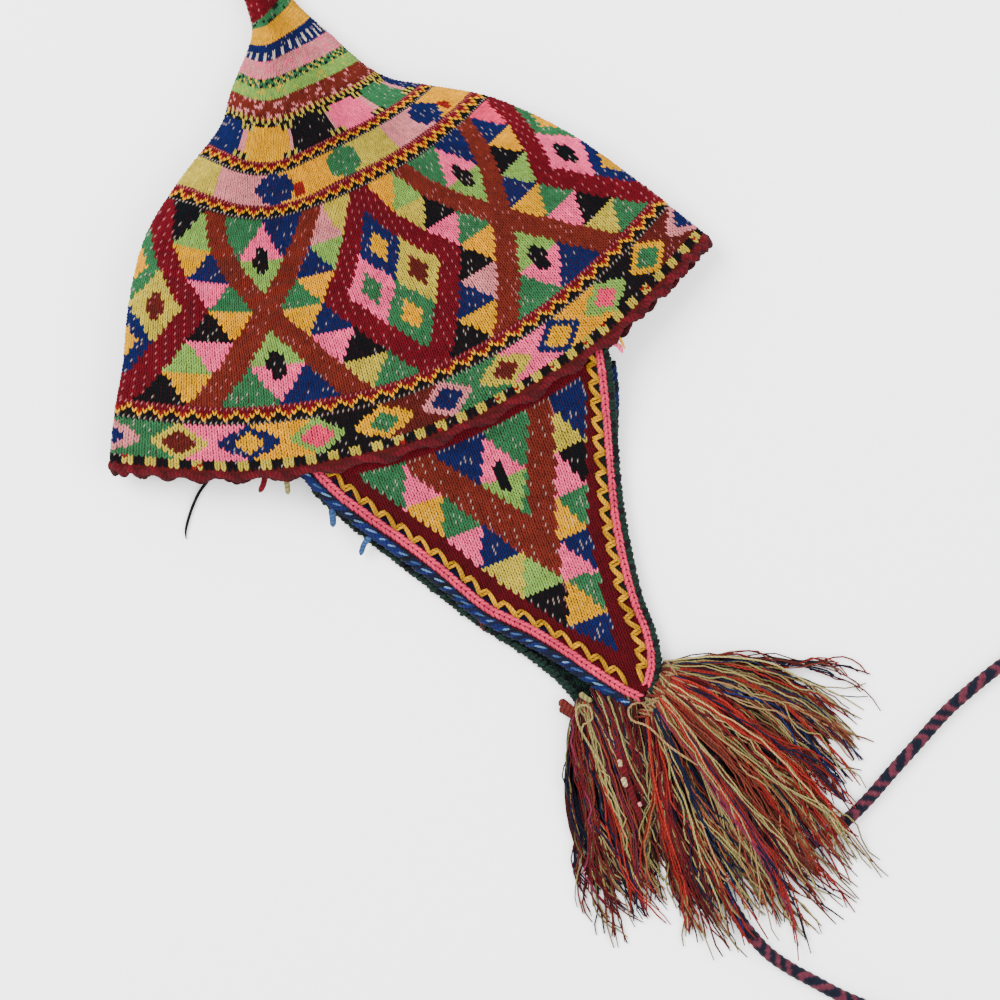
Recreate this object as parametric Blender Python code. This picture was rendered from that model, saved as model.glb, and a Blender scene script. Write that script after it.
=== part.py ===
"""A knitted cap with two ear flaps, tassels and braided ties, lying flat on a surface.

Metres, +Z up, +Y towards the tip. The surface is z = 0, and the origin is on the crown's flat underside,
midway between the two ends of the rim.
"""

import math
from collections import namedtuple

import bmesh
import bpy
from mathutils import Vector

# Crown
RIM_WIDTH = 0.2386
CROWN_LENGTH = 0.1684
CROWN_HEIGHT = 0.040
KNIT_THICKNESS = 0.0022
FOLD_RISE = 0.42
FLAT_SHARE = 0.6
DOME_POWER = 2.2
DOME_ROUND = 0.62
RIPPLE_HEIGHT = 0.0010
RIPPLES = 7
RIPPLE_ROWS = 2.4

# Crochet edge of the rim
RIM_EDGE_THICKNESS = 0.0030
SCALLOPS = 40
SCALLOP_SHARE = 0.28
EDGE_BEND_ROW = 0.35

# Ear flaps
FLAP_WIDTH = 0.1269
FLAP_LENGTH_FRONT = 0.1228
FLAP_LENGTH_BACK = 0.1106
FLAP_DROP_RUN = 0.045
FLAP_EDGE_WIDTH = 0.0037
FLAP_EDGE_THICKNESS = 0.0028
FLAP_EDGE_START = 0.0052

# Tassels and ties
TASSEL_LENGTH = 0.100
LOCK_WIDTH = 0.0130
LOCK_THICKNESS = 0.0070
HEAD_WIDTH_FRONT = 0.0078
HEAD_WIDTH_BACK = 0.0060
HEAD_HEIGHT_FRONT = 0.0084
HEAD_HEIGHT_BACK = 0.0068
TIE_DIAMETER = 0.0051
TIE_STEP = 0.0115

# Clearances
GAP = 0.0003
TIE_CLEARANCE = 0.0006
PILE_STEP = 0.00017

# Faceting
CROWN_SIDES = 40
RIM_EDGE_SIDES = SCALLOPS * 5
FLAP_COLUMNS = 9
FLAP_STEP = 0.6
LOCK_SIDES = 6
ROUTE_FINENESS = 12
RIM_PASSES = 6

# Rows of the crown, from the lower line of the crochet edge to the tip. left, right: places of the two
# side folds, shares of half RIM_WIDTH. left_y, right_y: how far up they are, shares of CROWN_LENGTH.
# height: share of CROWN_HEIGHT. sag: how far the row hangs below its folds, share of its half width.
Section = namedtuple("Section", "left right left_y right_y height sag")
CROWN_SECTIONS = (
    Section(-0.998, 1.001, 0.000, 0.000, 0.650, 0.283),
    Section(-0.992, 0.989, 0.020, 0.020, 0.680, 0.283),
    Section(-0.927, 0.918, 0.110, 0.105, 0.825, 0.290),
    Section(-0.843, 0.837, 0.209, 0.198, 0.925, 0.300),
    Section(-0.772, 0.750, 0.308, 0.290, 0.990, 0.305),
    Section(-0.707, 0.673, 0.385, 0.358, 1.000, 0.310),
    Section(-0.633, 0.602, 0.451, 0.413, 0.975, 0.310),
    Section(-0.521, 0.515, 0.516, 0.468, 0.900, 0.300),
    Section(-0.440, 0.422, 0.554, 0.510, 0.825, 0.280),
    Section(-0.357, 0.347, 0.589, 0.541, 0.750, 0.260),
    Section(-0.285, 0.260, 0.626, 0.578, 0.675, 0.250),
    Section(-0.245, 0.205, 0.666, 0.620, 0.610, 0.240),
    Section(-0.202, 0.164, 0.703, 0.670, 0.550, 0.230),
    Section(-0.149, 0.130, 0.743, 0.721, 0.490, 0.210),
    Section(-0.102, 0.093, 0.787, 0.769, 0.440, 0.200),
    Section(-0.090, 0.059, 0.835, 0.822, 0.400, 0.180),
    Section(-0.087, 0.040, 0.884, 0.875, 0.375, 0.160),
    Section(-0.084, 0.025, 0.934, 0.930, 0.340, 0.120),
    Section(-0.071, 0.006, 0.974, 0.971, 0.275, 0.080),
    Section(-0.050, -0.016, 0.993, 0.993, 0.175, 0.000),
)
KNIT_EDGE_ROW = 1
LAST_HOLLOW_ROW = 17

# Outlines of the flaps with their edging. drop: share of the flap's length. left, right: shares of
# FLAP_WIDTH, from the line through the origin.
Outline = namedtuple("Outline", "drop left right")
FRONT_OUTLINE = (
    Outline(0.00, -0.437, 0.554),
    Outline(0.12, -0.379, 0.525),
    Outline(0.30, -0.259, 0.464),
    Outline(0.43, -0.173, 0.426),
    Outline(0.58, -0.090, 0.397),
    Outline(0.70, 0.013, 0.382),
    Outline(0.80, 0.090, 0.382),
    Outline(0.90, 0.157, 0.362),
    Outline(0.97, 0.207, 0.315),
    Outline(1.00, 0.233, 0.280),
)
BACK_OUTLINE = (
    Outline(0.00, -0.437, 0.566),
    Outline(0.12, -0.379, 0.536),
    Outline(0.31, -0.271, 0.452),
    Outline(0.45, -0.192, 0.402),
    Outline(0.61, -0.105, 0.344),
    Outline(0.74, -0.020, 0.292),
    Outline(0.85, 0.041, 0.245),
    Outline(0.93, 0.073, 0.204),
    Outline(0.98, 0.086, 0.163),
    Outline(1.00, 0.099, 0.140),
)
PLATE_END = 0.955
# Section of a flap's edging. side: share of FLAP_EDGE_WIDTH. rise: share of FLAP_EDGE_THICKNESS.
Corner = namedtuple("Corner", "side rise")
FLAP_EDGE_SECTION = (
    Corner(-0.50, 0.5),
    Corner(-0.28, 1.0),
    Corner(0.28, 1.0),
    Corner(0.50, 0.5),
    Corner(0.28, 0.0),
    Corner(-0.28, 0.0),
)

# Places that hang from the rim's line. across: share of FLAP_WIDTH. drop: share of the flap's length.
Hung = namedtuple("Hung", "across drop")
# Heads of the tassels: the two ends of each
FRONT_HEAD = (
    Hung(0.4090, 0.9343),
    Hung(0.2750, 1.0458),
)
BACK_HEAD = (
    Hung(0.1284, 1.0762),
    Hung(0.0820, 1.0662),
)
# Rings of a head. share: of the way between its ends. reach: half widths beyond. size: share of full.
HeadRing = namedtuple("HeadRing", "share reach size")
HEAD_RINGS = (
    HeadRing(0.0, -0.90, 0.35),
    HeadRing(0.0, -0.45, 0.85),
    HeadRing(0.1, 0.00, 1.00),
    HeadRing(0.9, 0.00, 1.00),
    HeadRing(1.0, 0.45, 0.85),
    HeadRing(1.0, 0.90, 0.35),
)

# Locks of the tassels. start: share of the way along the head. heading: degrees from +X in plan.
# reach: share of TASSEL_LENGTH. bow: share of the reach, to the left of the heading. width: share of
# LOCK_WIDTH. lie: floor, over (lifted over a tie, with its tip on the floor) or held (lifted to its tip).
Lock = namedtuple("Lock", "start heading reach bow width lie")
FRONT_LOCKS = (
    Lock(0.00, -40.0, 0.735, 0.080, 1.00, "floor"),
    Lock(0.09, -49.0, 0.750, 0.050, 1.00, "floor"),
    Lock(0.20, -57.0, 0.730, 0.040, 0.90, "floor"),
    Lock(0.45, -66.3, 0.930, 0.030, 1.00, "over"),
    Lock(0.60, -73.2, 0.975, 0.020, 1.00, "over"),
    Lock(0.72, -79.6, 0.945, 0.000, 1.00, "over"),
    Lock(0.75, -84.0, 0.560, 0.000, 0.70, "floor"),
    Lock(0.85, -86.5, 0.810, 0.000, 0.90, "held"),
    Lock(1.00, -94.0, 0.840, -0.020, 0.90, "over"),
)
BACK_LOCKS = (
    Lock(1.00, -103.9, 0.772, -0.070, 0.90, "floor"),
    Lock(0.75, -97.3, 0.785, -0.040, 0.90, "floor"),
    Lock(0.35, -91.5, 0.725, -0.020, 0.85, "floor"),
    Lock(0.00, -89.0, 0.695, 0.000, 0.60, "floor"),
)
LIFT_END = 0.86
LIFTED_THINNING = 0.7
# A lock at even steps from the head to the tip. wide, thick: shares of the full width and thickness.
Station = namedtuple("Station", "wide thick")
LOCK_STATIONS = (
    Station(0.36, 0.42),
    Station(0.66, 0.80),
    Station(0.88, 1.00),
    Station(1.00, 0.95),
    Station(0.94, 0.80),
    Station(0.70, 0.58),
    Station(0.24, 0.30),
)

# Routes of the ties in plan, from the tassel's head to the free end
FRONT_TIE = (
    Hung(0.3649, 1.0222),
    Hung(0.3838, 1.0532),
    Hung(0.3956, 1.1004),
    Hung(0.4043, 1.2046),
    Hung(0.4145, 1.3227),
    Hung(0.4334, 1.4408),
    Hung(0.4571, 1.5181),
    Hung(0.4901, 1.5589),
    Hung(0.5359, 1.5719),
    Hung(0.5831, 1.5694),
    Hung(0.6470, 1.5597),
    Hung(0.7147, 1.5385),
    Hung(0.7928, 1.5027),
    Hung(0.8747, 1.4571),
    Hung(0.9827, 1.4001),
    Hung(1.0906, 1.3431),
    Hung(1.1812, 1.3072),
    Hung(1.2711, 1.2771),
    Hung(1.3712, 1.2502),
    Hung(1.4578, 1.2331),
)
BACK_TIE = (
    Hung(0.1678, 1.0916),
    Hung(0.1797, 1.2019),
    Hung(0.2033, 1.3339),
    Hung(0.2301, 1.5011),
    Hung(0.2569, 1.6512),
    Hung(0.2837, 1.7624),
    Hung(0.3018, 1.8529),
    Hung(0.3168, 1.9297),
    Hung(0.3499, 2.0301),
    Hung(0.3964, 2.1096),
    Hung(0.4460, 2.1766),
    Hung(0.5043, 2.2534),
    Hung(0.5713, 2.3275),
    Hung(0.6493, 2.4107),
)

# Colours, roughness
CRIMSON = (0.27, 0.02, 0.035)
GREEN = (0.03, 0.16, 0.07)
NAVY = (0.02, 0.035, 0.16)
PINK = (0.85, 0.20, 0.32)
RUST = (0.32, 0.07, 0.03)
ROSE = (0.30, 0.06, 0.11)
WOOL_ROUGHNESS = 0.9


def clear_scene():
    for item in list(bpy.data.objects):
        bpy.data.objects.remove(item)


def wool(name, colour):
    material = bpy.data.materials.new(name)
    material.use_nodes = True
    shader = material.node_tree.nodes["Principled BSDF"]
    shader.inputs["Base Color"].default_value = (*colour, 1.0)
    shader.inputs["Roughness"].default_value = WOOL_ROUGHNESS
    shader.inputs["Metallic"].default_value = 0.0
    return material


def row_at(table, t):
    """The table's row at t, a smooth curve through its rows; straight on past its ends."""
    last = len(table) - 1
    i = min(max(int(math.floor(t)), 0), last - 1)
    f = t - i
    before = table[max(i - 1, 0)]
    here = table[i]
    after = table[i + 1]
    beyond = table[min(i + 2, last)]
    values = []
    for a, b, c, d in zip(before, here, after, beyond):
        if f < 0 or f > 1:
            values.append(b + (c - b) * f)
        else:
            slope_b = (c - a) / 2 if i > 0 else c - b
            slope_c = (d - b) / 2 if i + 2 <= last else c - b
            values.append(
                b * (2 * f**3 - 3 * f**2 + 1)
                + slope_b * (f**3 - 2 * f**2 + f)
                + c * (3 * f**2 - 2 * f**3)
                + slope_c * (f**3 - f**2)
            )
    return type(here)(*values)


def crown_point(t, u, top, inset):
    """A point of the crown's wall: row t, u from -1 at the left fold to 1 at the right one."""
    row = row_at(CROWN_SECTIONS, t)
    half_rim = RIM_WIDTH / 2
    left = row.left * half_rim + inset
    right = row.right * half_rim - inset
    share = (u + 1) / 2
    x = left + (right - left) * share
    fold_y = (row.left_y + (row.right_y - row.left_y) * share) * CROWN_LENGTH
    y = fold_y - row.sag * (right - left) / 2 * (1 - u * u)
    height = row.height * CROWN_HEIGHT
    fold = FOLD_RISE * height
    if top:
        ease = max(1 - max(t, 0.0) / RIPPLE_ROWS, 0.0) ** 2
        z = fold + (height - inset - fold) * max(1 - abs(u) ** DOME_POWER, 0.0) ** DOME_ROUND
        z += RIPPLE_HEIGHT * ease * math.sin(math.pi * RIPPLES * u) * (1 - u * u)
    else:
        bend = max(abs(u) - FLAT_SHARE, 0.0) / (1 - FLAT_SHARE)
        z = fold - (fold - inset) * math.sqrt(max(1 - bend * bend, 0.0))
    return Vector((x, y, z))


def ring_places(sides):
    """(u, top) round a closed row: over the top from the left fold, and back underneath."""
    places = []
    for j in range(sides):
        angle = 2 * math.pi * j / sides
        places.append((-math.cos(angle), j < sides / 2))
    return places


def finish(name, bm, material, smooth=True):
    bmesh.ops.recalc_face_normals(bm, faces=bm.faces)
    mesh = bpy.data.meshes.new(name)
    bm.to_mesh(mesh)
    bm.free()
    if smooth:
        mesh.shade_smooth()
    mesh.materials.append(material)
    piece = bpy.data.objects.new(name, mesh)
    bpy.context.scene.collection.objects.link(piece)
    return piece


def add_ring(bm, points):
    return [bm.verts.new(point) for point in points]


def join_rings(bm, one, other):
    count = len(one)
    for j in range(count):
        k = (j + 1) % count
        bm.faces.new((one[j], one[k], other[k], other[j]))


def cap_ring(bm, ring):
    middle = sum((v.co for v in ring), Vector()) / len(ring)
    hub = bm.verts.new(middle)
    for j, vert in enumerate(ring):
        bm.faces.new((vert, ring[(j + 1) % len(ring)], hub))


def make_crown(material):
    places = ring_places(CROWN_SIDES)
    bm = bmesh.new()
    outer = []
    inner = []
    for row in range(KNIT_EDGE_ROW, len(CROWN_SECTIONS)):
        outer.append(add_ring(bm, [crown_point(row, u, top, 0.0) for u, top in places]))
    for row in range(KNIT_EDGE_ROW, LAST_HOLLOW_ROW + 1):
        inner.append(add_ring(bm, [crown_point(row, u, top, KNIT_THICKNESS) for u, top in places]))
    for wall in (outer, inner):
        for one, other in zip(wall, wall[1:]):
            join_rings(bm, one, other)
        cap_ring(bm, wall[-1])
    join_rings(bm, outer[0], inner[0])
    return finish("crown", bm, material)


def rim_edge_depth():
    """From the knit's lower edge to the crochet edge's lower line, at the fold."""
    return (CROWN_SECTIONS[KNIT_EDGE_ROW].left_y - CROWN_SECTIONS[0].left_y) * CROWN_LENGTH


def make_rim_edging(material):
    top_row = KNIT_EDGE_ROW - GAP / rim_edge_depth()
    bm = bmesh.new()
    rings = []
    for j, (u, top) in enumerate(ring_places(RIM_EDGE_SIDES)):
        wave = math.sin(math.pi * SCALLOPS * j / RIM_EDGE_SIDES) ** 2
        section = (
            (top_row, 0.0),
            (EDGE_BEND_ROW, 0.0),
            (-SCALLOP_SHARE * wave, RIM_EDGE_THICKNESS / 2),
            (EDGE_BEND_ROW, RIM_EDGE_THICKNESS),
            (top_row, RIM_EDGE_THICKNESS),
        )
        rings.append(add_ring(bm, [crown_point(t, u, top, inset) for t, inset in section]))
    for j, ring in enumerate(rings):
        join_rings(bm, ring, rings[(j + 1) % len(rings)])
    return finish("rim_edging", bm, material)


def rim_place(x):
    """The outer point of the knit's lower edge, on the upper layer, at that x."""
    row = CROWN_SECTIONS[KNIT_EDGE_ROW]
    half_rim = RIM_WIDTH / 2
    u = 2 * (x / half_rim - row.left) / (row.right - row.left) - 1
    return crown_point(KNIT_EDGE_ROW, u, True, 0.0)


def front_base(x, y):
    """How high the underside of the front flap is: from behind the rim's edging down to the back flap."""
    rest = FLAP_EDGE_THICKNESS + GAP
    rim = rim_place(x)
    start = rim.z - RIM_EDGE_THICKNESS - 2 * GAP - KNIT_THICKNESS
    s = min(max((rim.y - y) / FLAP_DROP_RUN, 0.0), 1.0)
    return rest + (start - rest) * (1 - s) ** 2 * (1 + s)


def flat_base(x, y):
    return 0.0


def flap_side(outline, length, top_gap, t, side):
    """A point of a flap's outline in plan. The rim's curve fades out towards the tip."""
    row = row_at(outline, t)
    x = getattr(row, side) * FLAP_WIDTH
    middle = rim_place(0.0).y - top_gap
    arc = (rim_place(x).y - rim_place(0.0).y) * (1 - row.drop) ** 2
    return Vector((x, middle - length * row.drop + arc, 0.0))


def inset_points(points, distance):
    """The same plan points moved to the right of their way along, by that distance."""
    moved = []
    for i, point in enumerate(points):
        ahead = points[min(i + 1, len(points) - 1)]
        behind = points[max(i - 1, 0)]
        way = (ahead - behind).normalized()
        moved.append(point + Vector((way.y, -way.x, 0.0)) * distance)
    return moved


def flap_steps(outline, first, last):
    """Rows of a flap's outline from first to last, at the same places for the flap and its edging."""
    middle = [i * FLAP_STEP for i in range(int(len(outline) / FLAP_STEP) + 1)]
    margin = FLAP_STEP / 4
    return [first] + [t for t in middle if first + margin < t < last - margin] + [last]


def corner_on_rim(corner, below, top_gap):
    """The corner moved along its edge to the line that the flap hangs from."""
    for _ in range(RIM_PASSES):
        height = rim_place(corner.x).y - top_gap
        corner = below.lerp(corner, (height - below.y) / (corner.y - below.y))
    return corner


def make_flap(name, outline, length, top_gap, base, material):
    inner = FLAP_EDGE_WIDTH + 1.5 * GAP
    last = next(i for i, row in enumerate(outline) if row.drop > PLATE_END) - 1
    span = last + (PLATE_END - outline[last].drop) / (outline[last + 1].drop - outline[last].drop)
    steps = flap_steps(outline, 0.0, span)
    left = [flap_side(outline, length, top_gap, t, "left") for t in steps]
    right = [flap_side(outline, length, top_gap, t, "right") for t in steps]
    left = inset_points(left, -inner)
    right = inset_points(right, inner)
    left[0] = corner_on_rim(left[0], left[1], top_gap)
    right[0] = corner_on_rim(right[0], right[1], top_gap)
    bm = bmesh.new()
    layers = {}
    for level in (0.0, KNIT_THICKNESS):
        grid = []
        for t, a, b in zip(steps, left, right):
            arc = (1 - row_at(outline, t).drop) ** 2
            line = []
            for c in range(FLAP_COLUMNS + 1):
                share = c / FLAP_COLUMNS
                point = a.lerp(b, share)
                chord = rim_place(a.x).y + (rim_place(b.x).y - rim_place(a.x).y) * share
                point.y += (rim_place(point.x).y - chord) * arc
                point.z = base(point.x, point.y) + level
                line.append(bm.verts.new(point))
            grid.append(line)
        layers[level] = grid
    under, over = layers[0.0], layers[KNIT_THICKNESS]
    for grid in (under, over):
        for row, below in zip(grid, grid[1:]):
            for c in range(FLAP_COLUMNS):
                bm.faces.new((row[c], row[c + 1], below[c + 1], below[c]))
    for line_under, line_over in (
        (under[0], over[0]),
        (under[-1], over[-1]),
        ([row[0] for row in under], [row[0] for row in over]),
        ([row[-1] for row in under], [row[-1] for row in over]),
    ):
        for c in range(len(line_under) - 1):
            bm.faces.new((line_under[c], line_under[c + 1], line_over[c + 1], line_over[c]))
    return finish(name, bm, material)


def make_flap_edging(name, outline, length, top_gap, start, base, material):
    """A chain along both sides of a flap, round its tip, in one tube with a flat section."""
    first = start / (length * (outline[1].drop - outline[0].drop))
    steps = flap_steps(outline, first, len(outline) - 1)
    down = [flap_side(outline, length, top_gap, t, "left") for t in steps]
    up = [flap_side(outline, length, top_gap, t, "right") for t in reversed(steps)]
    path = inset_points(down + up, -FLAP_EDGE_WIDTH / 2)
    bm = bmesh.new()
    rings = []
    for i, point in enumerate(path):
        ahead = path[min(i + 1, len(path) - 1)]
        behind = path[max(i - 1, 0)]
        way = (ahead - behind).normalized()
        across = Vector((way.y, -way.x, 0.0))
        ring = []
        for corner in FLAP_EDGE_SECTION:
            place = point + across * corner.side * FLAP_EDGE_WIDTH
            place.z = base(point.x, point.y) + corner.rise * FLAP_EDGE_THICKNESS
            ring.append(place)
        rings.append(add_ring(bm, ring))
    for one, other in zip(rings, rings[1:]):
        join_rings(bm, one, other)
    cap_ring(bm, rings[0])
    cap_ring(bm, rings[-1])
    return finish(name, bm, material)


def hang(place, length):
    """The point in plan that hangs there, on a flap of that length."""
    return Vector((place.across * FLAP_WIDTH, rim_place(0.0).y - place.drop * length, 0.0))


def add_tube(bm, centres, halves):
    """A closed tube round a line in plan; halves holds each ring's half width and half height."""
    rings = []
    for i, centre in enumerate(centres):
        ahead = centres[min(i + 1, len(centres) - 1)]
        behind = centres[max(i - 1, 0)]
        way = (ahead - behind).normalized()
        across = Vector((way.y, -way.x, 0.0)).normalized()
        rise = across.cross(way)
        ring = []
        for j in range(LOCK_SIDES):
            angle = 2 * math.pi * (j + 0.5) / LOCK_SIDES
            wide = across * math.cos(angle) * halves[i][0]
            high = rise * math.sin(angle) * halves[i][1] / math.cos(math.pi / LOCK_SIDES)
            ring.append(centre + wide + high)
        rings.append(add_ring(bm, ring))
    for one, other in zip(rings, rings[1:]):
        join_rings(bm, one, other)
    cap_ring(bm, rings[0])
    cap_ring(bm, rings[-1])


def lock_tube(lock, place_in_pile, ends):
    """Centres and half sizes of one lock, from inside the head to its tip."""
    begin = ends[0].lerp(ends[1], lock.start)
    angle = math.radians(lock.heading)
    way = Vector((math.cos(angle), math.sin(angle), 0.0))
    left = Vector((-way.y, way.x, 0.0))
    reach = lock.reach * TASSEL_LENGTH
    lifted = lock.lie != "floor"
    centres = []
    halves = []
    for i, station in enumerate(LOCK_STATIONS):
        s = i / (len(LOCK_STATIONS) - 1)
        wide = station.wide * lock.width * LOCK_WIDTH / 2
        high = station.thick * LOCK_THICKNESS / 2
        underside = GAP + PILE_STEP * place_in_pile
        if lifted:
            high *= LIFTED_THINNING
            underside += TIE_DIAMETER + TIE_CLEARANCE
            if lock.lie == "over" and s > LIFT_END:
                underside = GAP + PILE_STEP
        place = begin + way * reach * s + left * lock.bow * reach * 4 * s * (1 - s)
        place.z = underside + high
        centres.append(place)
        halves.append((wide, high))
    return centres, halves


def make_tassel(name, ends, head_width, head_height, locks, material):
    """Locks of yarn fused to the bound head that they hang from; ends are the head's two ends."""
    bm = bmesh.new()
    a, b = ends
    along = (b - a).normalized() * head_width / 2
    middle_z = GAP + head_height / 2
    centres = []
    halves = []
    for ring in HEAD_RINGS:
        place = a.lerp(b, ring.share) + along * ring.reach
        place.z = middle_z
        centres.append(place)
        halves.append((ring.size * head_width / 2, ring.size * head_height / 2))
    add_tube(bm, centres, halves)
    tassel = finish(name, bm, material)
    yarn = bpy.data.collections.new(f"{name}_locks")
    for i, lock in enumerate(locks):
        bm = bmesh.new()
        add_tube(bm, *lock_tube(lock, i, ends))
        cutter = finish(f"{name}_lock_{i + 1}", bm, material)
        cutter.hide_render = True
        cutter.display_type = "WIRE"
        yarn.objects.link(cutter)
    fuse = tassel.modifiers.new("fuse_locks", "BOOLEAN")
    fuse.operation = "UNION"
    fuse.operand_type = "COLLECTION"
    fuse.collection = yarn
    fuse.solver = "EXACT"
    return tassel


def smooth_route(route, length, step):
    """Points a step apart on the smooth curve through the route's own points."""
    fine = []
    for i in range((len(route) - 1) * ROUTE_FINENESS + 1):
        fine.append(hang(row_at(route, i / ROUTE_FINENESS), length))
    total = sum((b - a).length for a, b in zip(fine, fine[1:]))
    count = round(total / step)
    spaced = [fine[0]]
    walked = 0.0
    for a, b in zip(fine, fine[1:]):
        length = (b - a).length
        while len(spaced) < count and walked + length >= len(spaced) * total / count:
            spaced.append(a.lerp(b, (len(spaced) * total / count - walked) / length))
        walked += length
    spaced.append(fine[-1])
    return spaced


def make_tie(name, route, length, material):
    curve = bpy.data.curves.new(name, "CURVE")
    curve.dimensions = "3D"
    curve.bevel_depth = TIE_DIAMETER / 2
    curve.bevel_resolution = 2
    curve.use_fill_caps = True
    points = smooth_route(route, length, TIE_STEP)
    spline = curve.splines.new("POLY")
    spline.points.add(len(points) - 1)
    for spot, point in zip(spline.points, points):
        spot.co = (point.x, point.y, TIE_DIAMETER / 2 + GAP / 2, 1.0)
    curve.materials.append(material)
    piece = bpy.data.objects.new(name, curve)
    bpy.context.scene.collection.objects.link(piece)
    return piece


def main():
    clear_scene()
    crimson = wool("crimson_wool", CRIMSON)
    green = wool("green_wool", GREEN)
    navy = wool("navy_wool", NAVY)
    pink = wool("pink_wool", PINK)
    rust = wool("rust_wool", RUST)
    rose = wool("rose_braid", ROSE)
    below_edging = rim_edge_depth() * (1 + SCALLOP_SHARE) + GAP
    make_crown(crimson)
    make_rim_edging(crimson)
    make_flap("flap_front", FRONT_OUTLINE, FLAP_LENGTH_FRONT, 0.0, front_base, green)
    make_flap("flap_back", BACK_OUTLINE, FLAP_LENGTH_BACK, below_edging, flat_base, navy)
    make_flap_edging(
        "flap_edging_front", FRONT_OUTLINE, FLAP_LENGTH_FRONT, 0.0, FLAP_EDGE_START, front_base, pink
    )
    make_flap_edging(
        "flap_edging_back", BACK_OUTLINE, FLAP_LENGTH_BACK, below_edging, FLAP_EDGE_WIDTH, flat_base, pink
    )
    front_ends = [hang(end, FLAP_LENGTH_FRONT) for end in FRONT_HEAD]
    back_ends = [hang(end, FLAP_LENGTH_BACK) for end in BACK_HEAD]
    make_tassel("tassel_front", front_ends, HEAD_WIDTH_FRONT, HEAD_HEIGHT_FRONT, FRONT_LOCKS, rust)
    make_tassel("tassel_back", back_ends, HEAD_WIDTH_BACK, HEAD_HEIGHT_BACK, BACK_LOCKS, rust)
    make_tie("tie_front", FRONT_TIE, FLAP_LENGTH_FRONT, rose)
    make_tie("tie_back", BACK_TIE, FLAP_LENGTH_BACK, rose)


main()
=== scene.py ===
import math
from collections import namedtuple

import bmesh
import bpy
import numpy as np
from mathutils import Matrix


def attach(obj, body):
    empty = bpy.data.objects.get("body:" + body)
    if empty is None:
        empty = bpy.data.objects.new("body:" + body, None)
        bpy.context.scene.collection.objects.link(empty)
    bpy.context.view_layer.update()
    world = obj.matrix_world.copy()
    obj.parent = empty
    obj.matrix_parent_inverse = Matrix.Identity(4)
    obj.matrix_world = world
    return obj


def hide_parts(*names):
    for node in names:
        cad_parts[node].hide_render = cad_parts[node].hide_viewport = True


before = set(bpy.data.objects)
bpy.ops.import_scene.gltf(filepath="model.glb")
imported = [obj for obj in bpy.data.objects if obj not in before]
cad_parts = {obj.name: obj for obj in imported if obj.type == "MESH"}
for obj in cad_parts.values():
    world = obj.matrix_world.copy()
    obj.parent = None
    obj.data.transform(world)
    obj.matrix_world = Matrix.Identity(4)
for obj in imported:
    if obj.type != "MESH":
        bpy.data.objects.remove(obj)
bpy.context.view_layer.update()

rng = np.random.default_rng(21)

# Sizes of the hat, metres, as its solids have them
RIM_WIDTH = 0.2386
CROWN_LENGTH = 0.1684
CROWN_HEIGHT = 0.040
KNIT_THICKNESS = 0.0022
FOLD_RISE = 0.42
FLAT_SHARE = 0.6
DOME_POWER = 2.2
DOME_ROUND = 0.62
RIPPLE_HEIGHT = 0.0010
RIPPLES = 7
RIPPLE_ROWS = 2.4
SCALLOPS = 40
SCALLOP_SHARE = 0.28
RIM_EDGE_THICKNESS = 0.0030
FLAP_WIDTH = 0.1269
FLAP_LENGTH_FRONT = 0.1228
FLAP_LENGTH_BACK = 0.1106
FLAP_DROP_RUN = 0.045
FLAP_EDGE_THICKNESS = 0.0028
TASSEL_LENGTH = 0.100
TIE_DIAMETER = 0.0051
GAP = 0.0003

# Knitting
STITCH_RELIEF = 0.0008
BACKING_DEPTH = 0.0009
FLAP_STITCH_WIDTH = 0.00193
FLAP_STITCH_HEIGHT = 0.00133
COLUMN_LEAN = 0.075
# The bands dip to the left of the middle: how far, where and how wide
BAND_DIP = 0.024
DIP_MIDDLE = 0.25
DIP_SPREAD = 0.18
# How far the rows tilt near the tip: share of the crown's length up, tilt in the same shares
ROW_TILT = (
    (0.0, 0.0), (0.735, 0.0), (0.77, 0.012), (0.80, 0.018), (0.84, 0.032), (0.90, 0.040), (1.0, 0.0),
)
WRAP_START = 7.0
WRAP_END = 12.0
WRAP_MOST = 0.5

# Rows of the crown: places of its side folds in shares of half the rim, how far up they are in shares
# of the crown's length, height in shares of its height, and sag in shares of the row's half width.
CROWN_SECTIONS = np.array((
    (-0.998, 1.001, 0.000, 0.000, 0.650, 0.283),
    (-0.992, 0.989, 0.020, 0.020, 0.680, 0.283),
    (-0.927, 0.918, 0.110, 0.105, 0.825, 0.290),
    (-0.843, 0.837, 0.209, 0.198, 0.925, 0.300),
    (-0.772, 0.750, 0.308, 0.290, 0.990, 0.305),
    (-0.707, 0.673, 0.385, 0.358, 1.000, 0.310),
    (-0.633, 0.602, 0.451, 0.413, 0.975, 0.310),
    (-0.521, 0.515, 0.516, 0.468, 0.900, 0.300),
    (-0.440, 0.422, 0.554, 0.510, 0.825, 0.280),
    (-0.357, 0.347, 0.589, 0.541, 0.750, 0.260),
    (-0.285, 0.260, 0.626, 0.578, 0.675, 0.250),
    (-0.245, 0.205, 0.666, 0.620, 0.610, 0.240),
    (-0.202, 0.164, 0.703, 0.670, 0.550, 0.230),
    (-0.149, 0.130, 0.743, 0.721, 0.490, 0.210),
    (-0.102, 0.093, 0.787, 0.769, 0.440, 0.200),
    (-0.090, 0.059, 0.835, 0.822, 0.400, 0.180),
    (-0.087, 0.040, 0.884, 0.875, 0.375, 0.160),
    (-0.084, 0.025, 0.934, 0.930, 0.340, 0.120),
    (-0.071, 0.006, 0.974, 0.971, 0.275, 0.080),
    (-0.050, -0.016, 0.993, 0.993, 0.175, 0.000),
))
KNIT_EDGE_ROW = 1
LAST_HOLLOW_ROW = 17
GROUND_START = 0.3

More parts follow.
